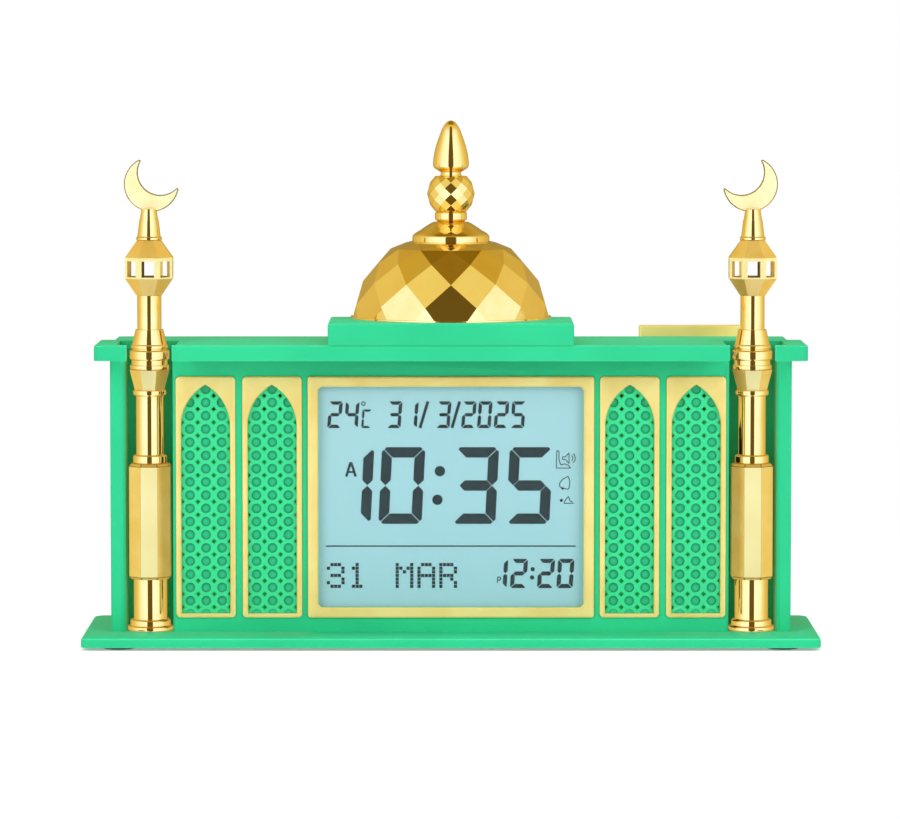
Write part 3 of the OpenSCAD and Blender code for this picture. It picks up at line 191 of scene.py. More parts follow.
def ramp(tree, factor, stops, interpolation="LINEAR"):
    """Colour ramp whose stops are (position, colour) pairs."""
    made = add(tree, "ShaderNodeValToRGB", {"Fac": factor})
    made.color_ramp.interpolation = interpolation
    while len(made.color_ramp.elements) < len(stops):
        made.color_ramp.elements.new(1.0)
    for element, (position, colour) in zip(made.color_ramp.elements, stops):
        element.position = position
        element.color = colour
    return made


def maths(tree, operation, *values):
    """Result of a calculation with sockets and numbers."""
    return add(tree, "ShaderNodeMath", dict(enumerate(values)), operation=operation).outputs[0]


def span(tree, value, start, end, low=0.0, high=1.0):
    """Value moved from the range start to end into the range low to high, and held there."""
    return add(tree, "ShaderNodeMapRange", {
        "Value": value, "From Min": start, "From Max": end, "To Min": low, "To Max": high,
    }).outputs["Result"]


def new_material(name):
    """Empty node material and its node tree."""
    made = bpy.data.materials.new(name)
    made.use_nodes = True
    made.node_tree.nodes.clear()
    return made, made.node_tree


def shaded(made, tree, sockets):
    """Ends a material with a shader that has these sockets."""
    shader = add(tree, "ShaderNodeBsdfPrincipled", sockets)
    add(tree, "ShaderNodeOutputMaterial", {"Surface": shader.outputs["BSDF"]})
    return made


def surface(name, light, dark, patch, grain, relief, rough, metallic=0.0, stretch=None, **sockets):
    """Finish with two tones in patches, a fine grain in relief and uneven gloss.

    patch and grain are the pattern's sizes and relief its height, all in millimetres;
    stretch draws the grain out along an axis, and sockets are set on the shader itself.
    """
    made, tree = new_material(name)
    place = add(tree, "ShaderNodeTexCoord").outputs["Object"]
    clouds = add(tree, "ShaderNodeTexNoise", {
        "Vector": place, "Scale": per_mm(patch), "Detail": 3.0, "Roughness": 0.55,
    })
    along = add(tree, "ShaderNodeMapping", {"Vector": place, "Scale": stretch or (1, 1, 1)})
    fine = add(tree, "ShaderNodeTexNoise", {
        "Vector": along.outputs["Vector"], "Scale": per_mm(grain), "Detail": 2.0,
    })
    tone = ramp(tree, clouds.outputs["Fac"], [(0.35, dark), (0.65, light)])
    gloss = span(tree, clouds.outputs["Fac"], 0.3, 0.7, *rough)
    bump = add(tree, "ShaderNodeBump", {
        "Height": fine.outputs["Fac"], "Strength": 1.0, "Distance": relief * MM,
    })
    return shaded(made, tree, {
        "Base Color": tone.outputs["Color"], "Roughness": gloss,
        "Normal": bump.outputs["Normal"], "Metallic": metallic, **sockets,
    })


def lcd_face_material(colour):
    """Reflective liquid-crystal display: a fine grain over soft clouds, with painted light that
    makes it lighter towards the top, and a faint painted glow.
    """
    made, tree = new_material("lcd_reflective_film")
    place = add(tree, "ShaderNodeTexCoord").outputs["Object"]
    apart = add(tree, "ShaderNodeSeparateXYZ", {"Vector": place})
    grain = add(tree, "ShaderNodeTexNoise", {"Vector": place, "Scale": per_mm(0.5), "Detail": 1.0})
    cloud = add(tree, "ShaderNodeTexNoise", {"Vector": place, "Scale": per_mm(26), "Detail": 1.0})
    low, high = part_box("lcd_glass")
    # painted light: the film is darker towards the bottom and lighter towards the top
    painted_top_light = span(tree, apart.outputs["Z"], low.z, high.z)
    mixed = maths(tree, "MULTIPLY", painted_top_light, cloud.outputs["Fac"])
    shade = maths(tree, "MULTIPLY_ADD", grain.outputs["Fac"], 0.08, mixed)
    tone = ramp(tree, shade, [
        (0.0, linear("#8FC0C7")), (0.4, colour), (0.9, linear("#99C5CC")),
    ])
    # the emission is a faint painted glow
    return shaded(made, tree, {
        "Base Color": tone.outputs["Color"], "Emission Color": tone.outputs["Color"],
        "Emission Strength": 0.1, "Roughness": 0.5, "Specular IOR Level": 0.3,
    })


def clear_acrylic_material():
    """Clear acrylic window: almost nothing but a faint gloss with hairline scratches."""
    made, tree = new_material("clear_acrylic")
    place = add(tree, "ShaderNodeTexCoord").outputs["Object"]
    hair = add(tree, "ShaderNodeMapping", {"Vector": place, "Scale": (1.0, 1.0, 0.06)})
    lines = add(tree, "ShaderNodeTexNoise", {
        "Vector": hair.outputs["Vector"], "Scale": per_mm(0.8), "Detail": 1.0,
    })
    gloss = span(tree, lines.outputs["Fac"], 0, 1, 0.02, 0.07)
    return shaded(made, tree, {
        "Base Color": linear("#C9DADA"), "Roughness": gloss, "Alpha": 0.03,
        "IOR": 1.49,
    })


def lattice_material(colour):
    """Moulded lattice in the case's green: bright face, with painted shade in the cups and round
    the holes.

    The UV map counts cups, so that a whole number is a cup's middle and a half is a hole's.
    """
    made, tree = new_material("green_lattice_abs")
    place = add(tree, "ShaderNodeTexCoord")
    apart = add(tree, "ShaderNodeSeparateXYZ", {"Vector": place.outputs["UV"]})

    def from_grid(axis, shift, pitch):
        """Distance in mm from the nearest grid line, which lies at shift."""
        moved = maths(tree, "SUBTRACT", apart.outputs[axis], shift)
        return maths(tree, "MULTIPLY", maths(tree, "PINGPONG", moved, 0.5), pitch)

    across = add(tree, "ShaderNodeCombineXYZ", {
        "X": from_grid("X", 0.0, CUP_PITCH[0]), "Y": from_grid("Y", 0.0, CUP_PITCH[1]),
    })
    from_cup = add(tree, "ShaderNodeVectorMath", {0: across.outputs[0]}, operation="LENGTH")
    from_hole = maths(tree, "ADD", from_grid("X", 0.5, CUP_PITCH[0]),
                      from_grid("Y", 0.5, CUP_PITCH[1]))
    # painted shade: darkest in a ring just inside each cup's rim, a little lighter in its middle
    cup_painted_shade = ramp(tree, span(tree, from_cup.outputs["Value"], 0, 2), [
        (0.0, linear("#2CC88B")), (0.5, linear("#26BF84")), (0.66, linear("#1DAF75")),
        (0.78, linear("#1BA970")), (0.84, colour),
    ])
    # painted shade in and round each hole
    hole_painted_shade = ramp(tree, span(tree, from_hole, 0, 2.4), [
        (0.3, linear("#86D6B4")), (0.4, linear("#BDEBD6")), (0.52, linear("#FFFFFF")),
    ])
    both = add(tree, "ShaderNodeMix", {
        0: 1.0, 6: cup_painted_shade.outputs["Color"], 7: hole_painted_shade.outputs["Color"],
    }, data_type="RGBA", blend_type="MULTIPLY")
    peel = add(tree, "ShaderNodeTexNoise", {
        "Vector": place.outputs["Object"], "Scale": per_mm(0.9), "Detail": 2.0,
    })
    bump = add(tree, "ShaderNodeBump", {
        "Height": peel.outputs["Fac"], "Strength": 1.0, "Distance": 0.003 * MM,
    })
    gloss = span(tree, peel.outputs["Fac"], 0, 1, 0.24, 0.36)
    return shaded(made, tree, {
        "Base Color": both.outputs[2], "Roughness": gloss,
        "Normal": bump.outputs["Normal"], "Specular IOR Level": 0.4,
    })


def circuit_board_material():
    """Glass-epoxy board: green solder mask with copper tracks in relief."""
    made, tree = new_material("circuit_board_epoxy")
    place = add(tree, "ShaderNodeTexCoord").outputs["Object"]
    flat = add(tree, "ShaderNodeMapping", {"Vector": place, "Scale": (1.0, 0.0, 1.0)})
    tracks = add(tree, "ShaderNodeTexBrick", {
        "Vector": flat.outputs["Vector"], "Scale": per_mm(6), "Mortar Size": 0.04,
        "Color1": linear("#1B6B44"), "Color2": linear("#1F7A4D"), "Mortar": linear("#3C9A63"),
    })
    bump = add(tree, "ShaderNodeBump", {
        "Height": tracks.outputs["Fac"], "Distance": 0.035 * MM, "Strength": 1.0,
    })
    return shaded(made, tree, {
        "Base Color": tracks.outputs["Color"], "Normal": bump.outputs["Normal"],
        "Roughness": 0.35,
    })


def battery_material():
    """Plastic-sleeved cell: a printed blue sleeve with a copper-coloured band at one end."""
    made, tree = new_material("battery_sleeve")
    place = add(tree, "ShaderNodeTexCoord").outputs["Object"]
    apart = add(tree, "ShaderNodeSeparateXYZ", {"Vector": place})
    low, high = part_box("battery_cells")
    bands = ramp(tree, span(tree, apart.outputs["X"], low.x, high.x), [
        (0.0, linear("#B9BBBE")), (0.02, linear("#2F5FA8")), (0.66, linear("#C98A4B")),
        (0.955, linear("#D8D8DA")),
    ], "CONSTANT")
    grain = add(tree, "ShaderNodeTexNoise", {"Vector": place, "Scale": per_mm(1.5)})
    gloss = span(tree, grain.outputs["Fac"], 0, 1, 0.22, 0.4)
    return shaded(made, tree, {
        "Base Color": bands.outputs["Color"], "Roughness": gloss,
        "Metallic": 0.3,
    })


def make_materials(looks):
    """One material for each of the record's slots, and a few more for single pieces."""
    gold = tuple(looks.gold) + (1.0,)
    green = tuple(looks.green) + (1.0,)
    return {
        # injection-moulded ABS, polished tool: a clean gloss over a very slight orange peel
        "green_abs": surface(
            "green_moulded_abs", green, linear("#2BC186"), 40, 0.9, 0.001, (0.42, 0.5),
            **{"Specular IOR Level": 0.15}),
        # the rounded edges of the same mouldings, in a lighter green that paints a highlight along
        # them
        "green_edge_highlight": surface(
            "green_abs_painted_edge_highlight", linear("#55EDB0"), linear("#4FE8AA"), 40, 0.9, 0.001,
            (0.25, 0.3)),
        "lattice": lattice_material(linear("#34D68F")),
        # gold-coloured lacquer on flat plastic frames: pale, silky, hardly a mirror
        "pale_gold": surface(
            "pale_gold_lacquer", linear("#FBE58A"), linear("#F8DB7C"), 14, 0.5, 0.002,
            (0.34, 0.44), metallic=0.3),
        # the same lacquer on the eight-sided mouldings and the bar button: silky, deeper
        "satin_gold": surface(
            "satin_gold_lacquer", linear("#FAD674"), linear("#F6CA62"), 9, 0.5, 0.002,
            (0.36, 0.42), metallic=0.8),
        # the flats that look straight out carry a painted highlight in pale cream gold
        "cream_gold": surface(
            "gold_painted_highlight", linear("#F8EBA2"), linear("#F6E69A"), 14, 2.0, 0.0005,
            (0.36, 0.44), metallic=0.3),
        # brown gold that paints shade in recesses and a dark reflection along stamped and moulded
        # edges
        "shaded_gold": surface(
            "brown_gold_painted_shade", linear("#917B36"), linear("#836E2C"), 3, 0.6, 0.001,
            (0.45, 0.55), metallic=0.3),
        # stamped sheet for the crescents: the palest of the golds, with a soft face
        "crescent_gold": surface(
            "crescent_pale_gold", linear("#F8EBB6"), linear("#F5E4A6"), 9, 4.0, 0.0005,
            (0.4, 0.48), metallic=0.1),
        # vacuum-metallised ABS with a gold lacquer: a sharp mirror with deep yellow tint
        "gold_plated": surface(
            "gold_metallised_abs", gold, linear("#F5D274"), 9, 2.6, 0.0008, (0.05, 0.09),
            metallic=1.0),
        # moulded rubber: black, dull, with a pebbled skin
        "rubber": surface(
            "moulded_rubber", linear("#2E2E2E"), linear("#232323"), 6, 0.35, 0.03, (0.7, 0.85)),
        # zinc-plated steel: grey metal with turning marks
        "screw_steel": surface(
            "zinc_plated_steel", linear("#C4C6C8"), linear("#A9ACAE"), 2.5, 0.25, 0.004,
            (0.28, 0.42), metallic=1.0),
        "clear_acrylic": clear_acrylic_material(),
        "lcd_face": lcd_face_material(tuple(looks.display) + (1.0,)),
        # cast light guide: milky white plate
        "light_guide": surface(
            "milky_light_guide", linear("#F4FAFA"), linear("#E6EEEE"), 9, 0.6, 0.004, (0.3, 0.4)),
        # white polystyrene carrier
        "white_plastic": surface(
            "white_polystyrene", linear("#F1F1ED"), linear("#E5E4DE"), 8, 0.6, 0.006, (0.35, 0.5)),
        # conductive silicone strips, layered across their length
        "black_rubber": surface(
            "conductive_silicone", linear("#444444"), linear("#2E2E2E"), 3, 0.3, 0.01,
            (0.6, 0.75), stretch=(4, 1, 1)),
        "circuit_board": circuit_board_material(),
        # black ABS with a fine spark-eroded texture
        "black_plastic": surface(
            "textured_black_abs", linear("#2C2C2D"), linear("#212122"), 8, 0.4, 0.02, (0.5, 0.62)),
        # pressed steel basket, lightly oiled
        "speaker_steel": surface(
            "pressed_basket_steel", linear("#8C8E90"), linear("#747678"), 5, 0.4, 0.004,
            (0.35, 0.5), metallic=1.0),
        # sintered ferrite: dark grey, slightly rough
        "speaker_magnet": surface(
            "sintered_ferrite", linear("#4A4A4C"), linear("#3A3A3C"), 3, 0.3, 0.01, (0.55, 0.7)),
        # felted paper cone, fibres in relief
        "speaker_paper": surface(
            "felted_cone_paper", linear("#2B2A29"), linear("#1E1D1C"), 3, 0.3, 0.03, (0.8, 0.92)),
        "battery_steel": battery_material(),
        # nickel-plated spring wire and sheet
        "nickel_wire": surface(
            "nickel_plate", linear("#D2D0CA"), linear("#BDBAB2"), 2, 0.3, 0.002, (0.18, 0.3),
            metallic=1.0),
        # satin off-white ABS of the set buttons
        "button_plastic": surface(
            "satin_white_abs", linear("#EAEAE6"), linear("#DEDED8"), 5, 0.4, 0.006, (0.36, 0.48)),
        # liquid-crystal segments: a slightly uneven blue-black
        "readout": surface(
            "lcd_segment_ink", linear("#12262A"), linear("#0E2024"), 4, 0.6, 0.001, (0.45, 0.6),
            **{"Specular IOR Level": 0.08}),
    }


FINISHES = {}


# ---------- mesh helpers ----------

def smooth_by_angle(mesh, degrees):
    """Shades a mesh smooth, except over edges sharper than an angle."""
    mesh.polygons.foreach_set("use_smooth", [True] * len(mesh.polygons))
    mesh.set_sharp_from_angle(angle=math.radians(degrees))


def place_piece(bm, name, slot, nodes=(), body=CASE, scale=1.0, sharp=ROUNDED, finish=None):
    """Writes a bmesh to a new piece at the origin, which rides on its body for its nodes."""
    mesh = bpy.data.meshes.new(name)
    bm.to_mesh(mesh)
    bm.free()
    mesh.transform(Matrix.Scale(scale, 4))
    mesh.materials.append(FINISHES[finish or slot])
    smooth_by_angle(mesh, sharp)
    piece = bpy.data.objects.new(name, mesh)
    bpy.context.scene.collection.objects.link(piece)
    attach(piece, body)
    if nodes:
        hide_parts(*nodes)
    return piece


def merged_copy(node, join=False):
    """Mesh of a CAD node with its loose triangles merged, its flat faces joined if asked."""
    bm = bmesh.new()
    bm.from_mesh(NODES[node].data)
    bmesh.ops.remove_doubles(bm, verts=bm.verts, dist=2e-6)
    bmesh.ops.dissolve_degenerate(bm, dist=1e-6, edges=bm.edges)
    if join:
        bmesh.ops.dissolve_limit(bm, angle_limit=math.radians(0.5), verts=bm.verts,
                                 edges=bm.edges)
    return bm


def dressed(node, edge=0.0, sharp=ROUNDED, finish=None, bm=None):
    """Piece that stands for a CAD node: its smooth copy or a given mesh, with edges rounded."""
    piece = place_piece(bm or merged_copy(node), f"{node}_dressed", SLOT_OF[node], (node,),
                        BODY_OF[node], sharp=sharp, finish=finish)
    if edge:
        rounding = piece.modifiers.new("edge_rounding", "BEVEL")
        rounding.width = edge * MM
        rounding.segments = 2
        rounding.limit_method = "ANGLE"
        rounding.angle_limit = math.radians(EDGE_ANGLE)
        rounding.use_clamp_overlap = True
        rounding.harden_normals = True
    return piece


def finish_edges(piece, finish):
    """Gives another finish to the rounded edges of a piece."""
    piece.data.materials.append(FINISHES[finish])
    piece.modifiers["edge_rounding"].material = len(piece.data.materials) - 1


def paint(piece, finish, chosen):
    """Gives another finish to the faces of a piece that are chosen."""
    piece.data.materials.append(FINISHES[finish])
    for face in piece.data.polygons:
        if chosen(face):
            face.material_index = len(piece.data.materials) - 1


def turned(profile, centre, foot, sizes):
    """Solid of revolution in mm from a profile that starts and ends on the axis."""
    bm = bmesh.new()
    verts = [bm.verts.new((centre[0] + r, centre[1], foot + z)) for r, z in profile]
    edges = [bm.edges.new(pair) for pair in zip(verts, verts[1:])]
    bmesh.ops.spin(
        bm, geom=verts + edges, cent=(centre[0], centre[1], 0), axis=(0, 0, 1),
        angle=math.tau, steps=sizes.steps, use_merge=True, use_normal_flip=False,
        use_duplicate=False,
    )
    bmesh.ops.remove_doubles(bm, verts=bm.verts, dist=1e-3)
    bmesh.ops.recalc_face_normals(bm, faces=bm.faces)
    rings = [
        e for e in bm.edges
        if len(e.link_faces) == 2 and e.calc_face_angle(0) > math.radians(RING_ANGLE)
    ]
    if sizes.rounding:
        bmesh.ops.bevel(
            bm, geom=rings, offset=sizes.rounding / MM, offset_type="OFFSET", affect="EDGES",
            segments=3, profile=0.5, material=-1, clamp_overlap=True,
        )
    return bm


def to_metres(bm):
    """Scales a mesh that was drawn in mm."""
    bmesh.ops.scale(bm, verts=bm.verts, vec=(MM, MM, MM))
    return bm


def polished(node, bm):
    """Turned piece for a node; its long faces mirror straight, whatever rounds their ends."""
    piece = dressed(node, bm=to_metres(bm))
    straight = piece.modifiers.new("straight_reflections", "WEIGHTED_NORMAL")
    straight.mode = "FACE_AREA"
    straight.keep_sharp = True
    return piece


def box_mm(node):
    """Low and high corner of a CAD node, in mm."""
    low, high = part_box(node)
    return low / MM, high / MM


def axis_of(node):
    """Middle of a round node in plan and its foot, in mm."""
    low, high = box_mm(node)
    return ((low.x + high.x) / 2, (low.y + high.y) / 2), low.z


# ---------- readout ----------
# Places are in mm from the clock's middle and over the floor.

def readout_face(bm, points):
    """Flat face of the readout with its corners at (x, z) points."""
    bm.faces.new([bm.verts.new((x, 0, z)) for x, z in points])


def bar_segment(bm, start, end, width):
    """Straight stroke between two points."""
    a, b = Vector(start), Vector(end)
    side = (b - a).normalized().orthogonal() * width / 2
    readout_face(bm, [a + side, b + side, b - side, a - side])


def disc_segment(bm, centre, radius, sides):
    """Round dot."""
    x, z = centre
    readout_face(bm, [
        (x + radius * math.cos(math.tau * i / sides), z + radius * math.sin(math.tau * i / sides))
        for i in range(sides)
    ])


def ring_segment(bm, centre, outer, inner, start=0.0, turn=360.0, steps=24):
    """Flat arc of a ring, made of short strips."""
    x, z = centre
    angles = [math.radians(start + turn * i / steps) for i in range(steps + 1)]
    for a, b in zip(angles, angles[1:]):
        readout_face(bm, [
            (x + r * math.cos(t), z + r * math.sin(t))
            for r, t in ((outer, a), (outer, b), (inner, b), (inner, a))
        ])


# The lit bars of each figure: a is the top one, b to f follow clockwise, g is in the middle
SEGMENTS_OF = {
    "0": "abcdef", "1": "bc", "2": "abged", "3": "abgcd", "4": "fgbc", "5": "afgcd", "C": "afed",
}


def digit(bm, figure, left, bottom, width, height, stroke, slant, gap):
    """Seven-segment figure with mitred bars, leaning to the right by slant."""
    w, h, s, g, c = width, height, stroke, gap, stroke * 0.42
    mid = h / 2
    half = {
        "a": [(c, h), (w - c, h), (w - c / 2 - g, h - c / 2), (w - s - g, h - s),
              (s + g, h - s), (c / 2 + g, h - c / 2)],
        "f": [(0, h - c), (c / 2, h - c / 2 - g), (s, h - s - g), (s, mid + s / 2 + g / 2),
              (s / 2, mid + g / 2), (0, mid + s / 2 + g / 2)],
    }
    shapes = {
        "a": half["a"],
        "d": [(x, h - z) for x, z in half["a"]],
        "f": half["f"],
        "e": [(x, h - z) for x, z in half["f"]],
        "b": [(w - x, z) for x, z in half["f"]],
        "c": [(w - x, h - z) for x, z in half["f"]],
        "g": [(s / 2 + g, mid), (s + g / 2, mid + s / 2), (w - s - g / 2, mid + s / 2),
              (w - s / 2 - g, mid), (w - s - g / 2, mid - s / 2), (s + g / 2, mid - s / 2)],
    }
    for name in SEGMENTS_OF[figure]:
        readout_face(bm, [(left + x + slant * z, bottom + z) for x, z in shapes[name]])


DOT_FIGURES = {
    "3": ("01110", "10001", "00001", "01110", "00001", "10001", "01110"),
    "1": ("010", "110", "010", "010", "010", "010", "111"),
    "M": ("10001", "11011", "10101", "10001", "10001", "10001", "10001"),
    "A": ("01110", "10001", "10001", "11111", "10001", "10001", "10001"),
    "R": ("11110", "10001", "10001", "11110", "10010", "10001", "10001"),
}


def dot_figure(bm, figure, left, bottom, pitch, cell):
    """Dot-matrix figure of square cells."""
    rows = DOT_FIGURES[figure]
    for down, row in enumerate(rows):
        for across, lit in enumerate(row):
            if lit == "1":
                x = left + across * pitch
                z = bottom + (len(rows) - 1 - down) * pitch
                readout_face(bm, [(x, z), (x + cell, z), (x + cell, z + cell), (x, z + cell)])


def polyline(bm, points, width, closed=False):
    """Thin line through a list of points."""
    pairs = list(zip(points, points[1:])) + ([(points[-1], points[0])] if closed else [])
    for a, b in pairs:
        bar_segment(bm, a, b, width)


def draw_time(bm, stroke):
    """The large figures of the time, the colon and the small letter before them."""
    for figure, left in (("1", -40.4), ("0", -23.74), ("3", 0.35), ("5", 18.0)):
        digit(bm, figure, left, 39.6, 14.15, 25.15, stroke, 0.05, 0.16)
    for centre in ((-3.6, 56.9), (-4.4, 47.5)):
        disc_segment(bm, centre, 1.7, 32)
    polyline(bm, [(-34.2, 55.1), (-32.75, 59.8)], 0.8)
    polyline(bm, [(-32.6, 59.8), (-31.1, 55.1)], 0.8)
    bar_segment(bm, (-33.4, 56.6), (-31.9, 56.6), 0.6)


def draw_date(bm):
    """The upper row: a temperature and a date in small seven-segment figures."""
    row = (("2", -40.4), ("4", -34.9), ("3", -20.9), ("1", -15.6), ("3", -4.9),
           ("2", 3.3), ("0", 8.5), ("2", 13.95), ("5", 19.4))
    for figure, left in row:
        digit(bm, figure, left, 71.0, 4.45, 8.75, 1.1, 0.076, 0.14)
    digit(bm, "C", -29.3, 71.0, 3.1, 6.1, 0.72, 0.076, 0.1)
    ring_segment(bm, (-28.55, 79.0), 0.72, 0.42)
    for foot, top in (((-10.1, 71.05), (-7.5, 79.7)), ((0.35, 71.05), (2.85, 79.7))):
        bar_segment(bm, foot, top, 0.95)


def draw_foot_row(bm):
    """The rule and the lower row: a date in dots and a second time."""
    bar_segment(bm, (-40.9, 32.3), (40.8, 32.3), 0.42)
    pitch, cell = 1.19, 1.05
    for figure, left in (("3", -40.6), ("1", -32.4), ("M", -18.1), ("A", -10.95), ("R", -3.8)):
        dot_figure(bm, figure, left, 18.55, pitch, cell)
    for figure, left in (("1", 12.85), ("2", 19.3), ("2", 28.15), ("0", 34.5)):
        digit(bm, figure, left, 18.5, 5.35, 9.6, 1.35, 0.062, 0.16)
    for centre in ((26.75, 24.7), (26.55, 22.0)):
        disc_segment(bm, centre, 0.72, 16)
    polyline(bm, [(15.2, 20.2), (15.35, 22.1), (16.3, 22.05), (16.2, 21.15), (15.3, 21.1)], 0.3)


def draw_icons(bm):
    """Small generic symbols at the right: sound, bell and moon."""
    line = 0.26
    polyline(bm, [(36.5, 61.6), (37.4, 61.6), (38.6, 62.9), (38.6, 59.4), (37.4, 60.7),
                  (36.5, 60.7)], line, True)
    for radius in (1.2, 2.0):
        ring_segment(bm, (38.6, 61.15), radius + line / 2, radius - line / 2, -48, 96, 8)
    polyline(bm, [(34.6, 63.6), (34.4, 57.9), (39.1, 57.9), (38.4, 58.8), (37.2, 59.3),
                  (35.9, 58.9), (35.3, 60.6), (35.3, 63.5)], line, True)
    polyline(bm, [(35.5, 52.9), (36.5, 54.2), (38.3, 55.2), (38.9, 53.6), (38.6, 51.4),
                  (38.2, 50.9), (35.6, 51.7)], line, True)
    disc_segment(bm, (36.5, 51.2), 0.42, 12)
    disc_segment(bm, (36.1, 47.3), 0.5, 14)
    polyline(bm, [(37.0, 46.6), (37.5, 47.5), (38.4, 48.6), (38.9, 47.2), (39.9, 46.7)], line)
    bar_segment(bm, (36.9, 46.35), (40.1, 46.35), line)


# ---------- settings ----------

class ClockLooks(bpy.types.PropertyGroup):
    green: FloatVectorProperty(
        name="Case green", description="Colour of the green mouldings",
        subtype="COLOR", size=3, min=0, max=1, default=linear("#2FC98C")[:3])
    gold: FloatVectorProperty(
        name="Plated gold", description="Colour of the metallised gold parts",
        subtype="COLOR", size=3, min=0, max=1, default=linear("#F7D980")[:3])
    display: FloatVectorProperty(
        name="Display", description="Colour of the display's film",
        subtype="COLOR", size=3, min=0, max=1, default=linear("#97C5CC")[:3])
    edge: FloatProperty(
        name="Edge radius", description="Radius on the sharp edges of the mouldings",
        unit="LENGTH", min=0, max=0.0005, default=0.00022)


class ReadoutSizes(bpy.types.PropertyGroup):
    stroke: FloatProperty(
        name="Stroke", description="Width of the bars of the large figures",
        unit="LENGTH", min=0.001, max=0.005, default=0.0034)
    thickness: FloatProperty(
        name="Thickness", description="How far the figures stand on the display's glass",
        unit="LENGTH", min=0.00002, max=0.0003, default=0.00008)


class TurnedSizes(bpy.types.PropertyGroup):
    steps: IntProperty(
        name="Steps", description="Steps of one full turn of a turned part",
        min=24, max=192, default=96)
    rounding: FloatProperty(
        name="Rounding", description="Radius on the rings of a turned part",
        unit="LENGTH", min=0, max=0.0004, default=0.00014)


class StageSettings(bpy.types.PropertyGroup):
    lens: FloatProperty(
        name="Lens", description="Focal length of the camera",
        unit="CAMERA", min=20, max=400, default=203.87)
    distance: FloatProperty(
        name="Distance", description="Distance of the camera in front of the middle of the base",
        unit="LENGTH", min=0.5, max=5, default=1.67298)
    height: FloatProperty(
        name="Height", description="Height of the camera over the floor",
        unit="LENGTH", min=0, max=2, default=0.19834)
    pitch: FloatProperty(
        name="Pitch", description="How far the camera looks down",
        subtype="ANGLE", min=0, max=math.radians(60), default=math.radians(4.18))
    lamp: FloatProperty(
        name="Lamp level", description="Power of each of the three lamps",
        min=0, max=100, default=9.0)
    fill: FloatProperty(
        name="Fill level", description="Strength of the even light from all sides",
        min=0, max=3, default=0.5)


# ---------- operators ----------

class CLOCK_OT_finishes(bpy.types.Operator):
    """Makes the finishes and gives every CAD node the one of its material slot"""
    bl_idname = "clock.finishes"
    bl_label = "Finishes"

    def execute(self, context):
        FINISHES.clear()
        FINISHES.update(make_materials(context.scene.clock_looks))
        for name, node in NODES.items():
            node.data.materials.clear()
            node.data.materials.append(FINISHES[SLOT_OF[name]])
        return {"FINISHED"}


def lattice_copy(node):
    """Lattice plate with a sheet behind its holes, which stands in for the shade seen through
    them, and a UV map that counts the cups.
    """
    bm = merged_copy(node, join=True)
    low, high = box_mm(node)
    corner = low + Vector((SHEET_SIDE, SHEET_DEPTH - SHEET_T / 2, SHEET_FOOT))
    far = Vector((high.x - SHEET_SIDE, corner.y + SHEET_T, high.z - SHEET_TOP))
    sheet = bmesh.ops.create_cube(bm, size=1.0)["verts"]
    bmesh.ops.scale(bm, verts=sheet, vec=(far - corner) * MM)
    bmesh.ops.translate(bm, verts=sheet, vec=(corner + far) / 2 * MM)
    middle = (low.x + high.x) / 2
    grid = bm.loops.layers.uv.new("cups")
    for face in bm.faces:
        for loop in face.loops:
            x, _, z = loop.vert.co / MM
            loop[grid].uv = ((x - middle) / CUP_PITCH[0], (z - FIRST_CUP) / CUP_PITCH[1])
    return bm


class CLOCK_OT_green_mouldings(bpy.types.Operator):
    """Dresses the green mouldings and the lattices"""
    bl_idname = "clock.green_mouldings"
    bl_label = "Green mouldings"

    def execute(self, context):
        edge = context.scene.clock_looks.edge / MM
        for node in GREEN_NODES:
            plain = node in ("base_plate", "cornice")
            piece = dressed(node, edge * 2 if plain else edge, bm=merged_copy(node, plain))
            # the polished gold mirrors the studio, not the green next to it
            piece.visible_glossy = False
            # the rounded edges carry a painted highlight
            finish_edges(piece, "green_edge_highlight")
        for node in LATTICES:
            dressed(node, finish="lattice", bm=lattice_copy(node)).visible_glossy = False
        return {"FINISHED"}


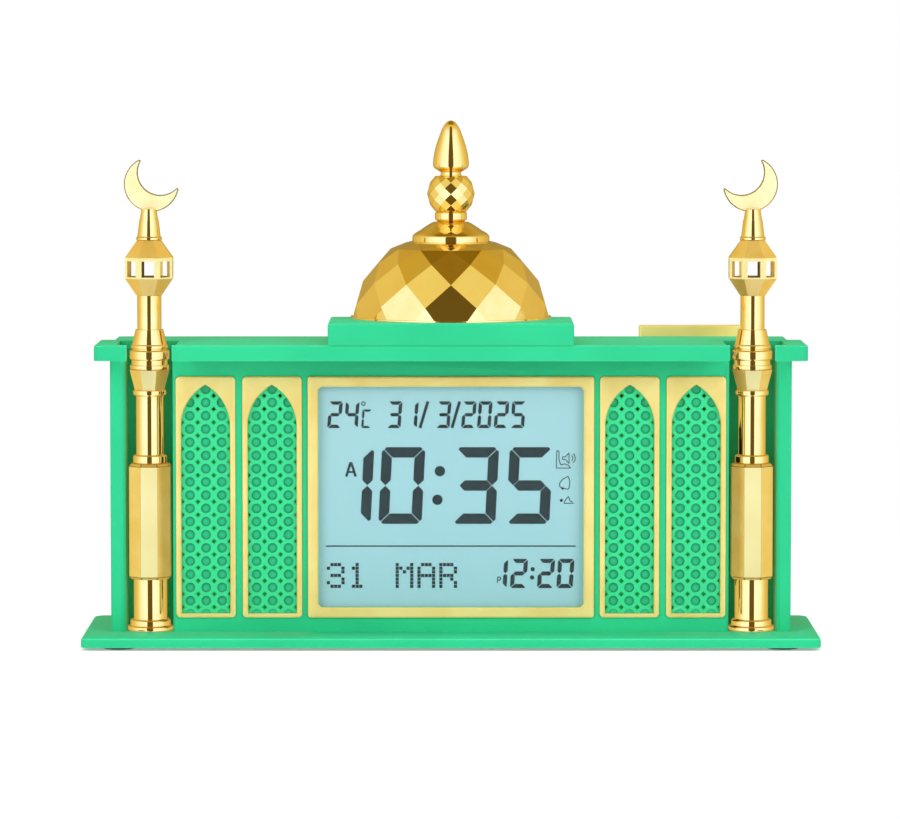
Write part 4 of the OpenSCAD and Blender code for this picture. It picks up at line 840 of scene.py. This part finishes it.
def crescent_solid(side):
    """Crescent with rounded tips and a rounded rim, with the tongue that stands in the cap."""
    low, high = box_mm(f"{side}_crescent")
    (axis, _), _ = axis_of(f"{side}_cap")
    outer, cut, shift, tip, rim = MOON
    way = SIDES[side]
    centre = Vector((axis - way * MOON_ASIDE, low.z + outer + TONGUE_DEPTH))
    towards = Vector((-way * math.cos(MOON_TILT), math.sin(MOON_TILT)))
    across = Vector((towards.y, -towards.x))

    def arc(x, y, radius, start, end, steps):
        return [
            (x + radius * math.cos(a), y + radius * math.sin(a))
            for a in (start + (end - start) * i / steps for i in range(steps + 1))
        ]

    # the tip's circle touches the outer circle from inside and the cut one from outside
    x = ((outer - tip) ** 2 - (cut + tip) ** 2 + shift ** 2) / (2 * shift)
    y = math.sqrt((outer - tip) ** 2 - x ** 2)
    a, c = math.atan2(y, x), math.atan2(y, x - shift)
    outline = (
        arc(0, 0, outer, a, math.tau - a, 72)
        + arc(x, -y, tip, -a, math.pi - c, 8)[1:-1]
        + arc(shift, 0, cut, math.tau - c, c, 48)
        + arc(x, y, tip, c - math.pi, a, 8)[1:-1]
    )
    bm = bmesh.new()
    corners = []
    for u, v in outline:
        at = centre + u * towards + v * across
        corners.append(bm.verts.new((at.x, low.y, at.y)))
    made = bmesh.ops.extrude_face_region(bm, geom=[bm.faces.new(corners)])
    back = [v for v in made["geom"] if isinstance(v, bmesh.types.BMVert)]
    bmesh.ops.translate(bm, verts=back, vec=(0, high.y - low.y, 0))
    bmesh.ops.recalc_face_normals(bm, faces=bm.faces)
    rims = [e for e in bm.edges if abs(e.verts[0].co.y - e.verts[1].co.y) < 1e-4]
    bmesh.ops.bevel(bm, geom=rims, offset=rim, offset_type="OFFSET", affect="EDGES", segments=3,
                    profile=0.5, material=-1, clamp_overlap=True)
    tongue = bmesh.ops.create_cube(bm, size=1.0)["verts"]
    bmesh.ops.scale(bm, verts=tongue, vec=(TONGUE_W, high.y - low.y - TONGUE_SLACK, TONGUE_H))
    bmesh.ops.translate(
        bm, verts=tongue, vec=(axis, (low.y + high.y) / 2, low.z + TONGUE_H / 2))
    return to_metres(bm)


class CLOCK_OT_pale_frames(bpy.types.Operator):
    """Dresses the display's bezel, the arch frames and the crescents"""
    bl_idname = "clock.pale_frames"
    bl_label = "Bezel and arch frames"

    def execute(self, context):
        edge = context.scene.clock_looks.edge / MM
        for node in ("lcd_bezel",) + FRAMES:
            # the rounded edges of the bezel and frames get painted shade in brown gold
            finish_edges(dressed(node, edge), "shaded_gold")
        for side in SIDES:
            # silky on both faces, polished round the lower rim, with painted shade in brown round
            # the upper
            crescent = dressed(f"{side}_crescent", bm=crescent_solid(side))
            paint(crescent, "gold_plated", lambda face: abs(face.normal.y) < 0.97)
            paint(crescent, "shaded_gold",
                  lambda face: abs(face.normal.y) < 0.97 and face.normal.z > -0.4)
        return {"FINISHED"}


def squarely_upright(face):
    """Whether a face looks straight to the front, the back or a side."""
    return max(abs(face.normal.x), abs(face.normal.y)) > 0.95


class CLOCK_OT_faceted_gold(bpy.types.Operator):
    """Dresses the dome, the ball, the sleeves and the lanterns, whose facets stay flat"""
    bl_idname = "clock.faceted_gold"
    bl_label = "Faceted gold parts"

    def execute(self, context):
        for node in ("dome_shell", "finial_ball"):
            dressed(node, FACET_EDGE, FACETED)
        for side in SIDES:
            sleeve = dressed(f"{side}_sleeve", SLEEVE_EDGE, FACETED, "satin_gold")
            # the flats that look straight out get a painted highlight
            paint(sleeve, "cream_gold", squarely_upright)
            # its rounded edges get painted shade in brown gold
            finish_edges(sleeve, "shaded_gold")
            node = f"{side}_lantern"
            lantern = dressed(node, FACET_EDGE, FACETED, "satin_gold")
            low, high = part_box(node)
            middle = (low + high) / 2

            def outwards(face):
                """Share of a face's normal that points away from the lantern's axis."""
                away = face.center - middle
                return face.normal.xy.dot(away.xy.normalized())

            # the upright faces that look outwards get a painted highlight
            paint(lantern, "cream_gold",
                  lambda face: abs(face.normal.z) < 0.2 and outwards(face) > 0.4)
            # painted shade, dark round the windows that look straight to the front and the back
            paint(lantern, "shaded_gold", lambda face: outwards(face) < 0.4
                  and abs(face.center.x - middle.x) < WINDOW_REACH * MM)
        dressed("snooze_bar", BAR_EDGE, finish="pale_gold")
        return {"FINISHED"}


class CLOCK_OT_turned_gold(bpy.types.Operator):
    """Turns the round gold parts of the minarets and of the finial"""
    bl_idname = "clock.turned_gold"
    bl_label = "Turned gold parts"

    def execute(self, context):
        sizes = context.scene.clock_turned
        for side in SIDES:
            for part in ("column", "shaft", "cap"):
                node = f"{side}_{part}"
                centre, foot = axis_of(node)
                polished(node, turned(PROFILES[part], centre, foot, sizes))
            # the eight-sided cup at its foot is silky, the turned rings are polished
            node = f"{side}_balcony"
            centre, foot = axis_of(node)
            bm = turned(PROFILES["balcony"], centre, foot, sizes)
            foot_radius, top_radius = (half / math.cos(math.pi / 8) for half in BALCONY_CUP)
            cup = bmesh.ops.create_cone(
                bm, cap_ends=True, segments=8, radius1=foot_radius, radius2=top_radius,
                depth=BALCONY_FOOT)["verts"]
            bmesh.ops.rotate(bm, verts=cup, matrix=Matrix.Rotation(math.pi / 8, 3, "Z"))
            bmesh.ops.translate(bm, verts=cup, vec=(*centre, foot + BALCONY_FOOT / 2))
            balcony = polished(node, bm)
            top = (foot + BALCONY_FOOT - 0.1) * MM
            paint(balcony, "satin_gold", lambda face: face.center.z < top)
            # the cup's upright flats that look straight out get a painted highlight
            paint(balcony, "cream_gold",
                  lambda face: face.center.z < top and squarely_upright(face))
        centre, _ = axis_of("finial_spike")
        for node in ("finial_collar", "finial_spike", "dome_skirt"):
            low, high = box_mm(node)
            bm = turned(PROFILES[node], centre, low.z, sizes)
            if node == "dome_skirt":
                cut = bmesh.ops.bisect_plane(
                    bm, geom=bm.verts[:] + bm.edges[:] + bm.faces[:], clear_outer=True,
                    plane_co=(0, high.y, 0), plane_no=(0, 1, 0))["geom_cut"]
                bmesh.ops.holes_fill(
                    bm, edges=[e for e in cut if isinstance(e, bmesh.types.BMEdge)])
            polished(node, bm)
        return {"FINISHED"}


class CLOCK_OT_readout(bpy.types.Operator):
    """Lays the readout on the front of the display's glass"""
    bl_idname = "clock.readout"
    bl_label = "Readout"

    def execute(self, context):
        sizes = context.scene.clock_readout
        bm = bmesh.new()
        draw_time(bm, sizes.stroke / MM)
        draw_date(bm)
        draw_foot_row(bm)
        draw_icons(bm)
        if not bm.faces:
            raise RuntimeError("the readout has no figures")
        low, _ = box_mm("lcd_glass")
        thickness = sizes.thickness / MM
        bmesh.ops.translate(bm, verts=bm.verts, vec=(0, low.y, 0))
        made = bmesh.ops.extrude_face_region(bm, geom=bm.faces[:])
        front = [v for v in made["geom"] if isinstance(v, bmesh.types.BMVert)]
        bmesh.ops.translate(bm, verts=front, vec=(0, -thickness, 0))
        bmesh.ops.recalc_face_normals(bm, faces=bm.faces)
        place_piece(bm, "lcd_readout", "lcd_face", scale=MM, finish="readout")
        return {"FINISHED"}


class CLOCK_OT_back_fittings(bpy.types.Operator):
    """Dresses the screws, feet, set buttons and what shows through the back"""
    bl_idname = "clock.back_fittings"
    bl_label = "Back fittings"

    def execute(self, context):
        for i in range(1, 5):
            dressed(f"set_button_{i}", FACET_EDGE)
        for node in ("rubber_feet", "case_screws", "base_screws", "speaker_cone", "speaker_frame"):
            dressed(node)
        return {"FINISHED"}


def lamp(name, location, size, energy):
    """Large soft lamp that points at the clock and lights it without showing itself."""
    data = bpy.data.lights.new(name, "AREA")
    data.shape = "RECTANGLE"
    data.size, data.size_y = size
    data.energy = energy
    made = bpy.data.objects.new(name, data)
    made.location = location
    made.rotation_euler = (Vector(LAMP_TARGET) - made.location).to_track_quat("-Z", "Y").to_euler()
    made.visible_camera = False
    made.visible_glossy = False
    bpy.context.scene.collection.objects.link(made)


def studio_world(fill):
    """Even light; a white backdrop; for mirrors a studio of two soft boxes with a dark gap."""
    world = bpy.data.worlds.new("studio")
    bpy.context.scene.world = world
    world.use_nodes = True
    tree = world.node_tree
    tree.nodes.clear()
    white = (1, 1, 1, 1)
    way = add(tree, "ShaderNodeTexCoord").outputs["Generated"]
    apart = add(tree, "ShaderNodeSeparateXYZ", {"Vector": way})
    aside = maths(tree, "ABSOLUTE", apart.outputs["X"])
    ahead = maths(tree, "MULTIPLY", apart.outputs["Y"], -1)
    share = maths(tree, "DIVIDE", maths(tree, "ARCTAN2", aside, ahead), math.pi)
    gap = (0.15, 0.11, 0.035, 1)
    # round the clock at eye level: dark gap, cool white boxes, warm dim room at the sides
    level = ramp(tree, share, [
        (0.0, gap), (0.086, gap), (0.098, (1.4, 1.65, 3.0, 1)), (0.34, (1.15, 1.4, 2.3, 1)),
        (0.45, (1.0, 1.08, 1.15, 1)), (0.57, (0.9, 0.79, 0.45, 1)), (0.8, (0.7, 0.55, 0.19, 1)),
        (0.93, (0.42, 0.32, 0.1, 1)), (1.0, (0.4, 0.3, 0.1, 1)),
    ])
    # higher up the boxes are warmer and dimmer
    raised = ramp(tree, share, [
        (0.0, gap), (0.1, gap), (0.14, (0.95, 0.9, 0.56, 1)), (0.33, (0.92, 0.86, 0.55, 1)),
        (0.52, (0.68, 0.52, 0.14, 1)), (0.8, (0.5, 0.36, 0.08, 1)),
    ])
    overhead = ramp(tree, ahead, [
        (0.0, (0.27, 0.17, 0.02, 1)), (0.22, (0.31, 0.2, 0.03, 1)), (0.36, (1.0, 0.76, 0.18, 1)),
    ])
    climb = span(tree, apart.outputs["Z"], 0.58, 0.8)
    top = span(tree, apart.outputs["Z"], 0.84, 0.92)
    sides = add(tree, "ShaderNodeMix", {
        0: climb, 6: level.outputs["Color"], 7: raised.outputs["Color"],
    }, data_type="RGBA")
    studio = add(tree, "ShaderNodeMix", {
        0: top, 6: sides.outputs[2], 7: overhead.outputs["Color"],
    }, data_type="RGBA")
    path = add(tree, "ShaderNodeLightPath")
    even = add(tree, "ShaderNodeBackground", {"Color": white, "Strength": fill})
    mirrored = add(tree, "ShaderNodeBackground", {"Color": studio.outputs[2], "Strength": 1.0})
    backdrop = add(tree, "ShaderNodeBackground", {"Color": white, "Strength": 1.0})
    first = add(tree, "ShaderNodeMixShader", {
        "Fac": path.outputs["Is Glossy Ray"], 1: even.outputs[0], 2: mirrored.outputs[0],
    })
    seen = maths(tree, "MAXIMUM", path.outputs["Is Camera Ray"],
                 path.outputs["Is Transmission Ray"])
    last = add(tree, "ShaderNodeMixShader", {
        "Fac": seen, 1: first.outputs[0], 2: backdrop.outputs[0],
    })
    add(tree, "ShaderNodeOutputWorld", {"Surface": last.outputs[0]})


def floor_material():
    """Matt white paper sweep, lifted to white for the camera but keeping the shadow."""
    made, tree = new_material("white_paper_sweep")
    place = add(tree, "ShaderNodeTexCoord").outputs["Object"]
    fibre = add(tree, "ShaderNodeTexNoise", {"Vector": place, "Scale": per_mm(4)})
    tone = ramp(tree, fibre.outputs["Fac"], [(0.3, linear("#FAFAFA")), (0.7, linear("#FFFFFF"))])
    matt = add(tree, "ShaderNodeBsdfDiffuse", {"Color": tone.outputs["Color"]})
    camera_ray = add(tree, "ShaderNodeLightPath").outputs["Is Camera Ray"]
    glow = add(tree, "ShaderNodeEmission", {"Strength": maths(tree, "MULTIPLY", camera_ray, 0.3)})
    near = add(tree, "ShaderNodeAddShader", {0: matt.outputs[0], 1: glow.outputs[0]})
    away = add(tree, "ShaderNodeVectorMath", {0: place}, operation="LENGTH")
    far = span(tree, away.outputs["Value"], *FLOOR_FADE)
    fade = maths(tree, "MULTIPLY", far, camera_ray)
    plain = add(tree, "ShaderNodeEmission", {"Color": (1, 1, 1, 1), "Strength": 1.0})
    both = add(tree, "ShaderNodeMixShader", {
        "Fac": fade, 1: near.outputs[0], 2: plain.outputs[0],
    })
    add(tree, "ShaderNodeOutputMaterial", {"Surface": both.outputs[0]})
    return made


class CLOCK_OT_stage(bpy.types.Operator):
    """Sets up the camera at the photograph's angle, the floor, the lamps and the world"""
    bl_idname = "clock.stage"
    bl_label = "Stage"

    def execute(self, context):
        settings = context.scene.clock_stage
        data = bpy.data.cameras.new("camera")
        data.sensor_width = 36
        data.lens = settings.lens
        data.shift_x = -0.001
        data.clip_start, data.clip_end = 0.05, 50
        camera = bpy.data.objects.new("camera", data)
        camera.location = (0, -settings.distance, settings.height)
        camera.rotation_euler = (math.pi / 2 - settings.pitch, 0, 0)
        context.scene.collection.objects.link(camera)
        context.scene.camera = camera
        bm = bmesh.new()
        bmesh.ops.create_grid(bm, x_segments=4, y_segments=4, size=FLOOR_SIZE)
        mesh = bpy.data.meshes.new("floor")
        bm.to_mesh(mesh)
        bm.free()
        mesh.materials.append(floor_material())
        floor = bpy.data.objects.new("floor", mesh)
        # upright gold parts mirror the studio right down to the base
        floor.visible_glossy = False
        context.scene.collection.objects.link(floor)
        x, y, z = FRONT_LAMP
        for side, way in SIDES.items():
            lamp(f"front_lamp_{side}", (way * x, y, z), FRONT_LAMP_SIZE, settings.lamp)
        lamp("top_lamp", TOP_LAMP, TOP_LAMP_SIZE, settings.lamp)
        studio_world(settings.fill)
        context.scene.view_settings.view_transform = "Standard"
        return {"FINISHED"}


OPERATORS = (
    CLOCK_OT_finishes, CLOCK_OT_green_mouldings, CLOCK_OT_pale_frames, CLOCK_OT_faceted_gold,
    CLOCK_OT_turned_gold, CLOCK_OT_readout, CLOCK_OT_back_fittings, CLOCK_OT_stage,
)
SETTINGS = {
    "clock_looks": ClockLooks, "clock_readout": ReadoutSizes, "clock_turned": TurnedSizes,
    "clock_stage": StageSettings,
}


class CLOCK_PT_panel(bpy.types.Panel):
    bl_idname = "CLOCK_PT_panel"
    bl_label = "Mosque clock"
    bl_space_type = "VIEW_3D"
    bl_region_type = "UI"
    bl_category = "Clock"

    def draw(self, context):
        for name, group in SETTINGS.items():
            column = self.layout.column()
            for prop in group.__annotations__:
                column.prop(getattr(context.scene, name), prop)
        for operator in OPERATORS:
            self.layout.operator(operator.bl_idname)


def register():
    for cls in (*SETTINGS.values(), *OPERATORS, CLOCK_PT_panel):
        bpy.utils.register_class(cls)
    for name, group in SETTINGS.items():
        setattr(bpy.types.Scene, name, PointerProperty(type=group))


def unregister():
    for name in SETTINGS:
        delattr(bpy.types.Scene, name)
    for cls in reversed((*SETTINGS.values(), *OPERATORS, CLOCK_PT_panel)):
        bpy.utils.unregister_class(cls)


def main():
    register()
    bpy.ops.clock.finishes()
    bpy.ops.clock.green_mouldings()
    bpy.ops.clock.pale_frames()
    bpy.ops.clock.faceted_gold()
    bpy.ops.clock.turned_gold()
    bpy.ops.clock.readout()
    bpy.ops.clock.back_fittings()
    bpy.ops.clock.stage()


if __name__ == "__main__":
    main()
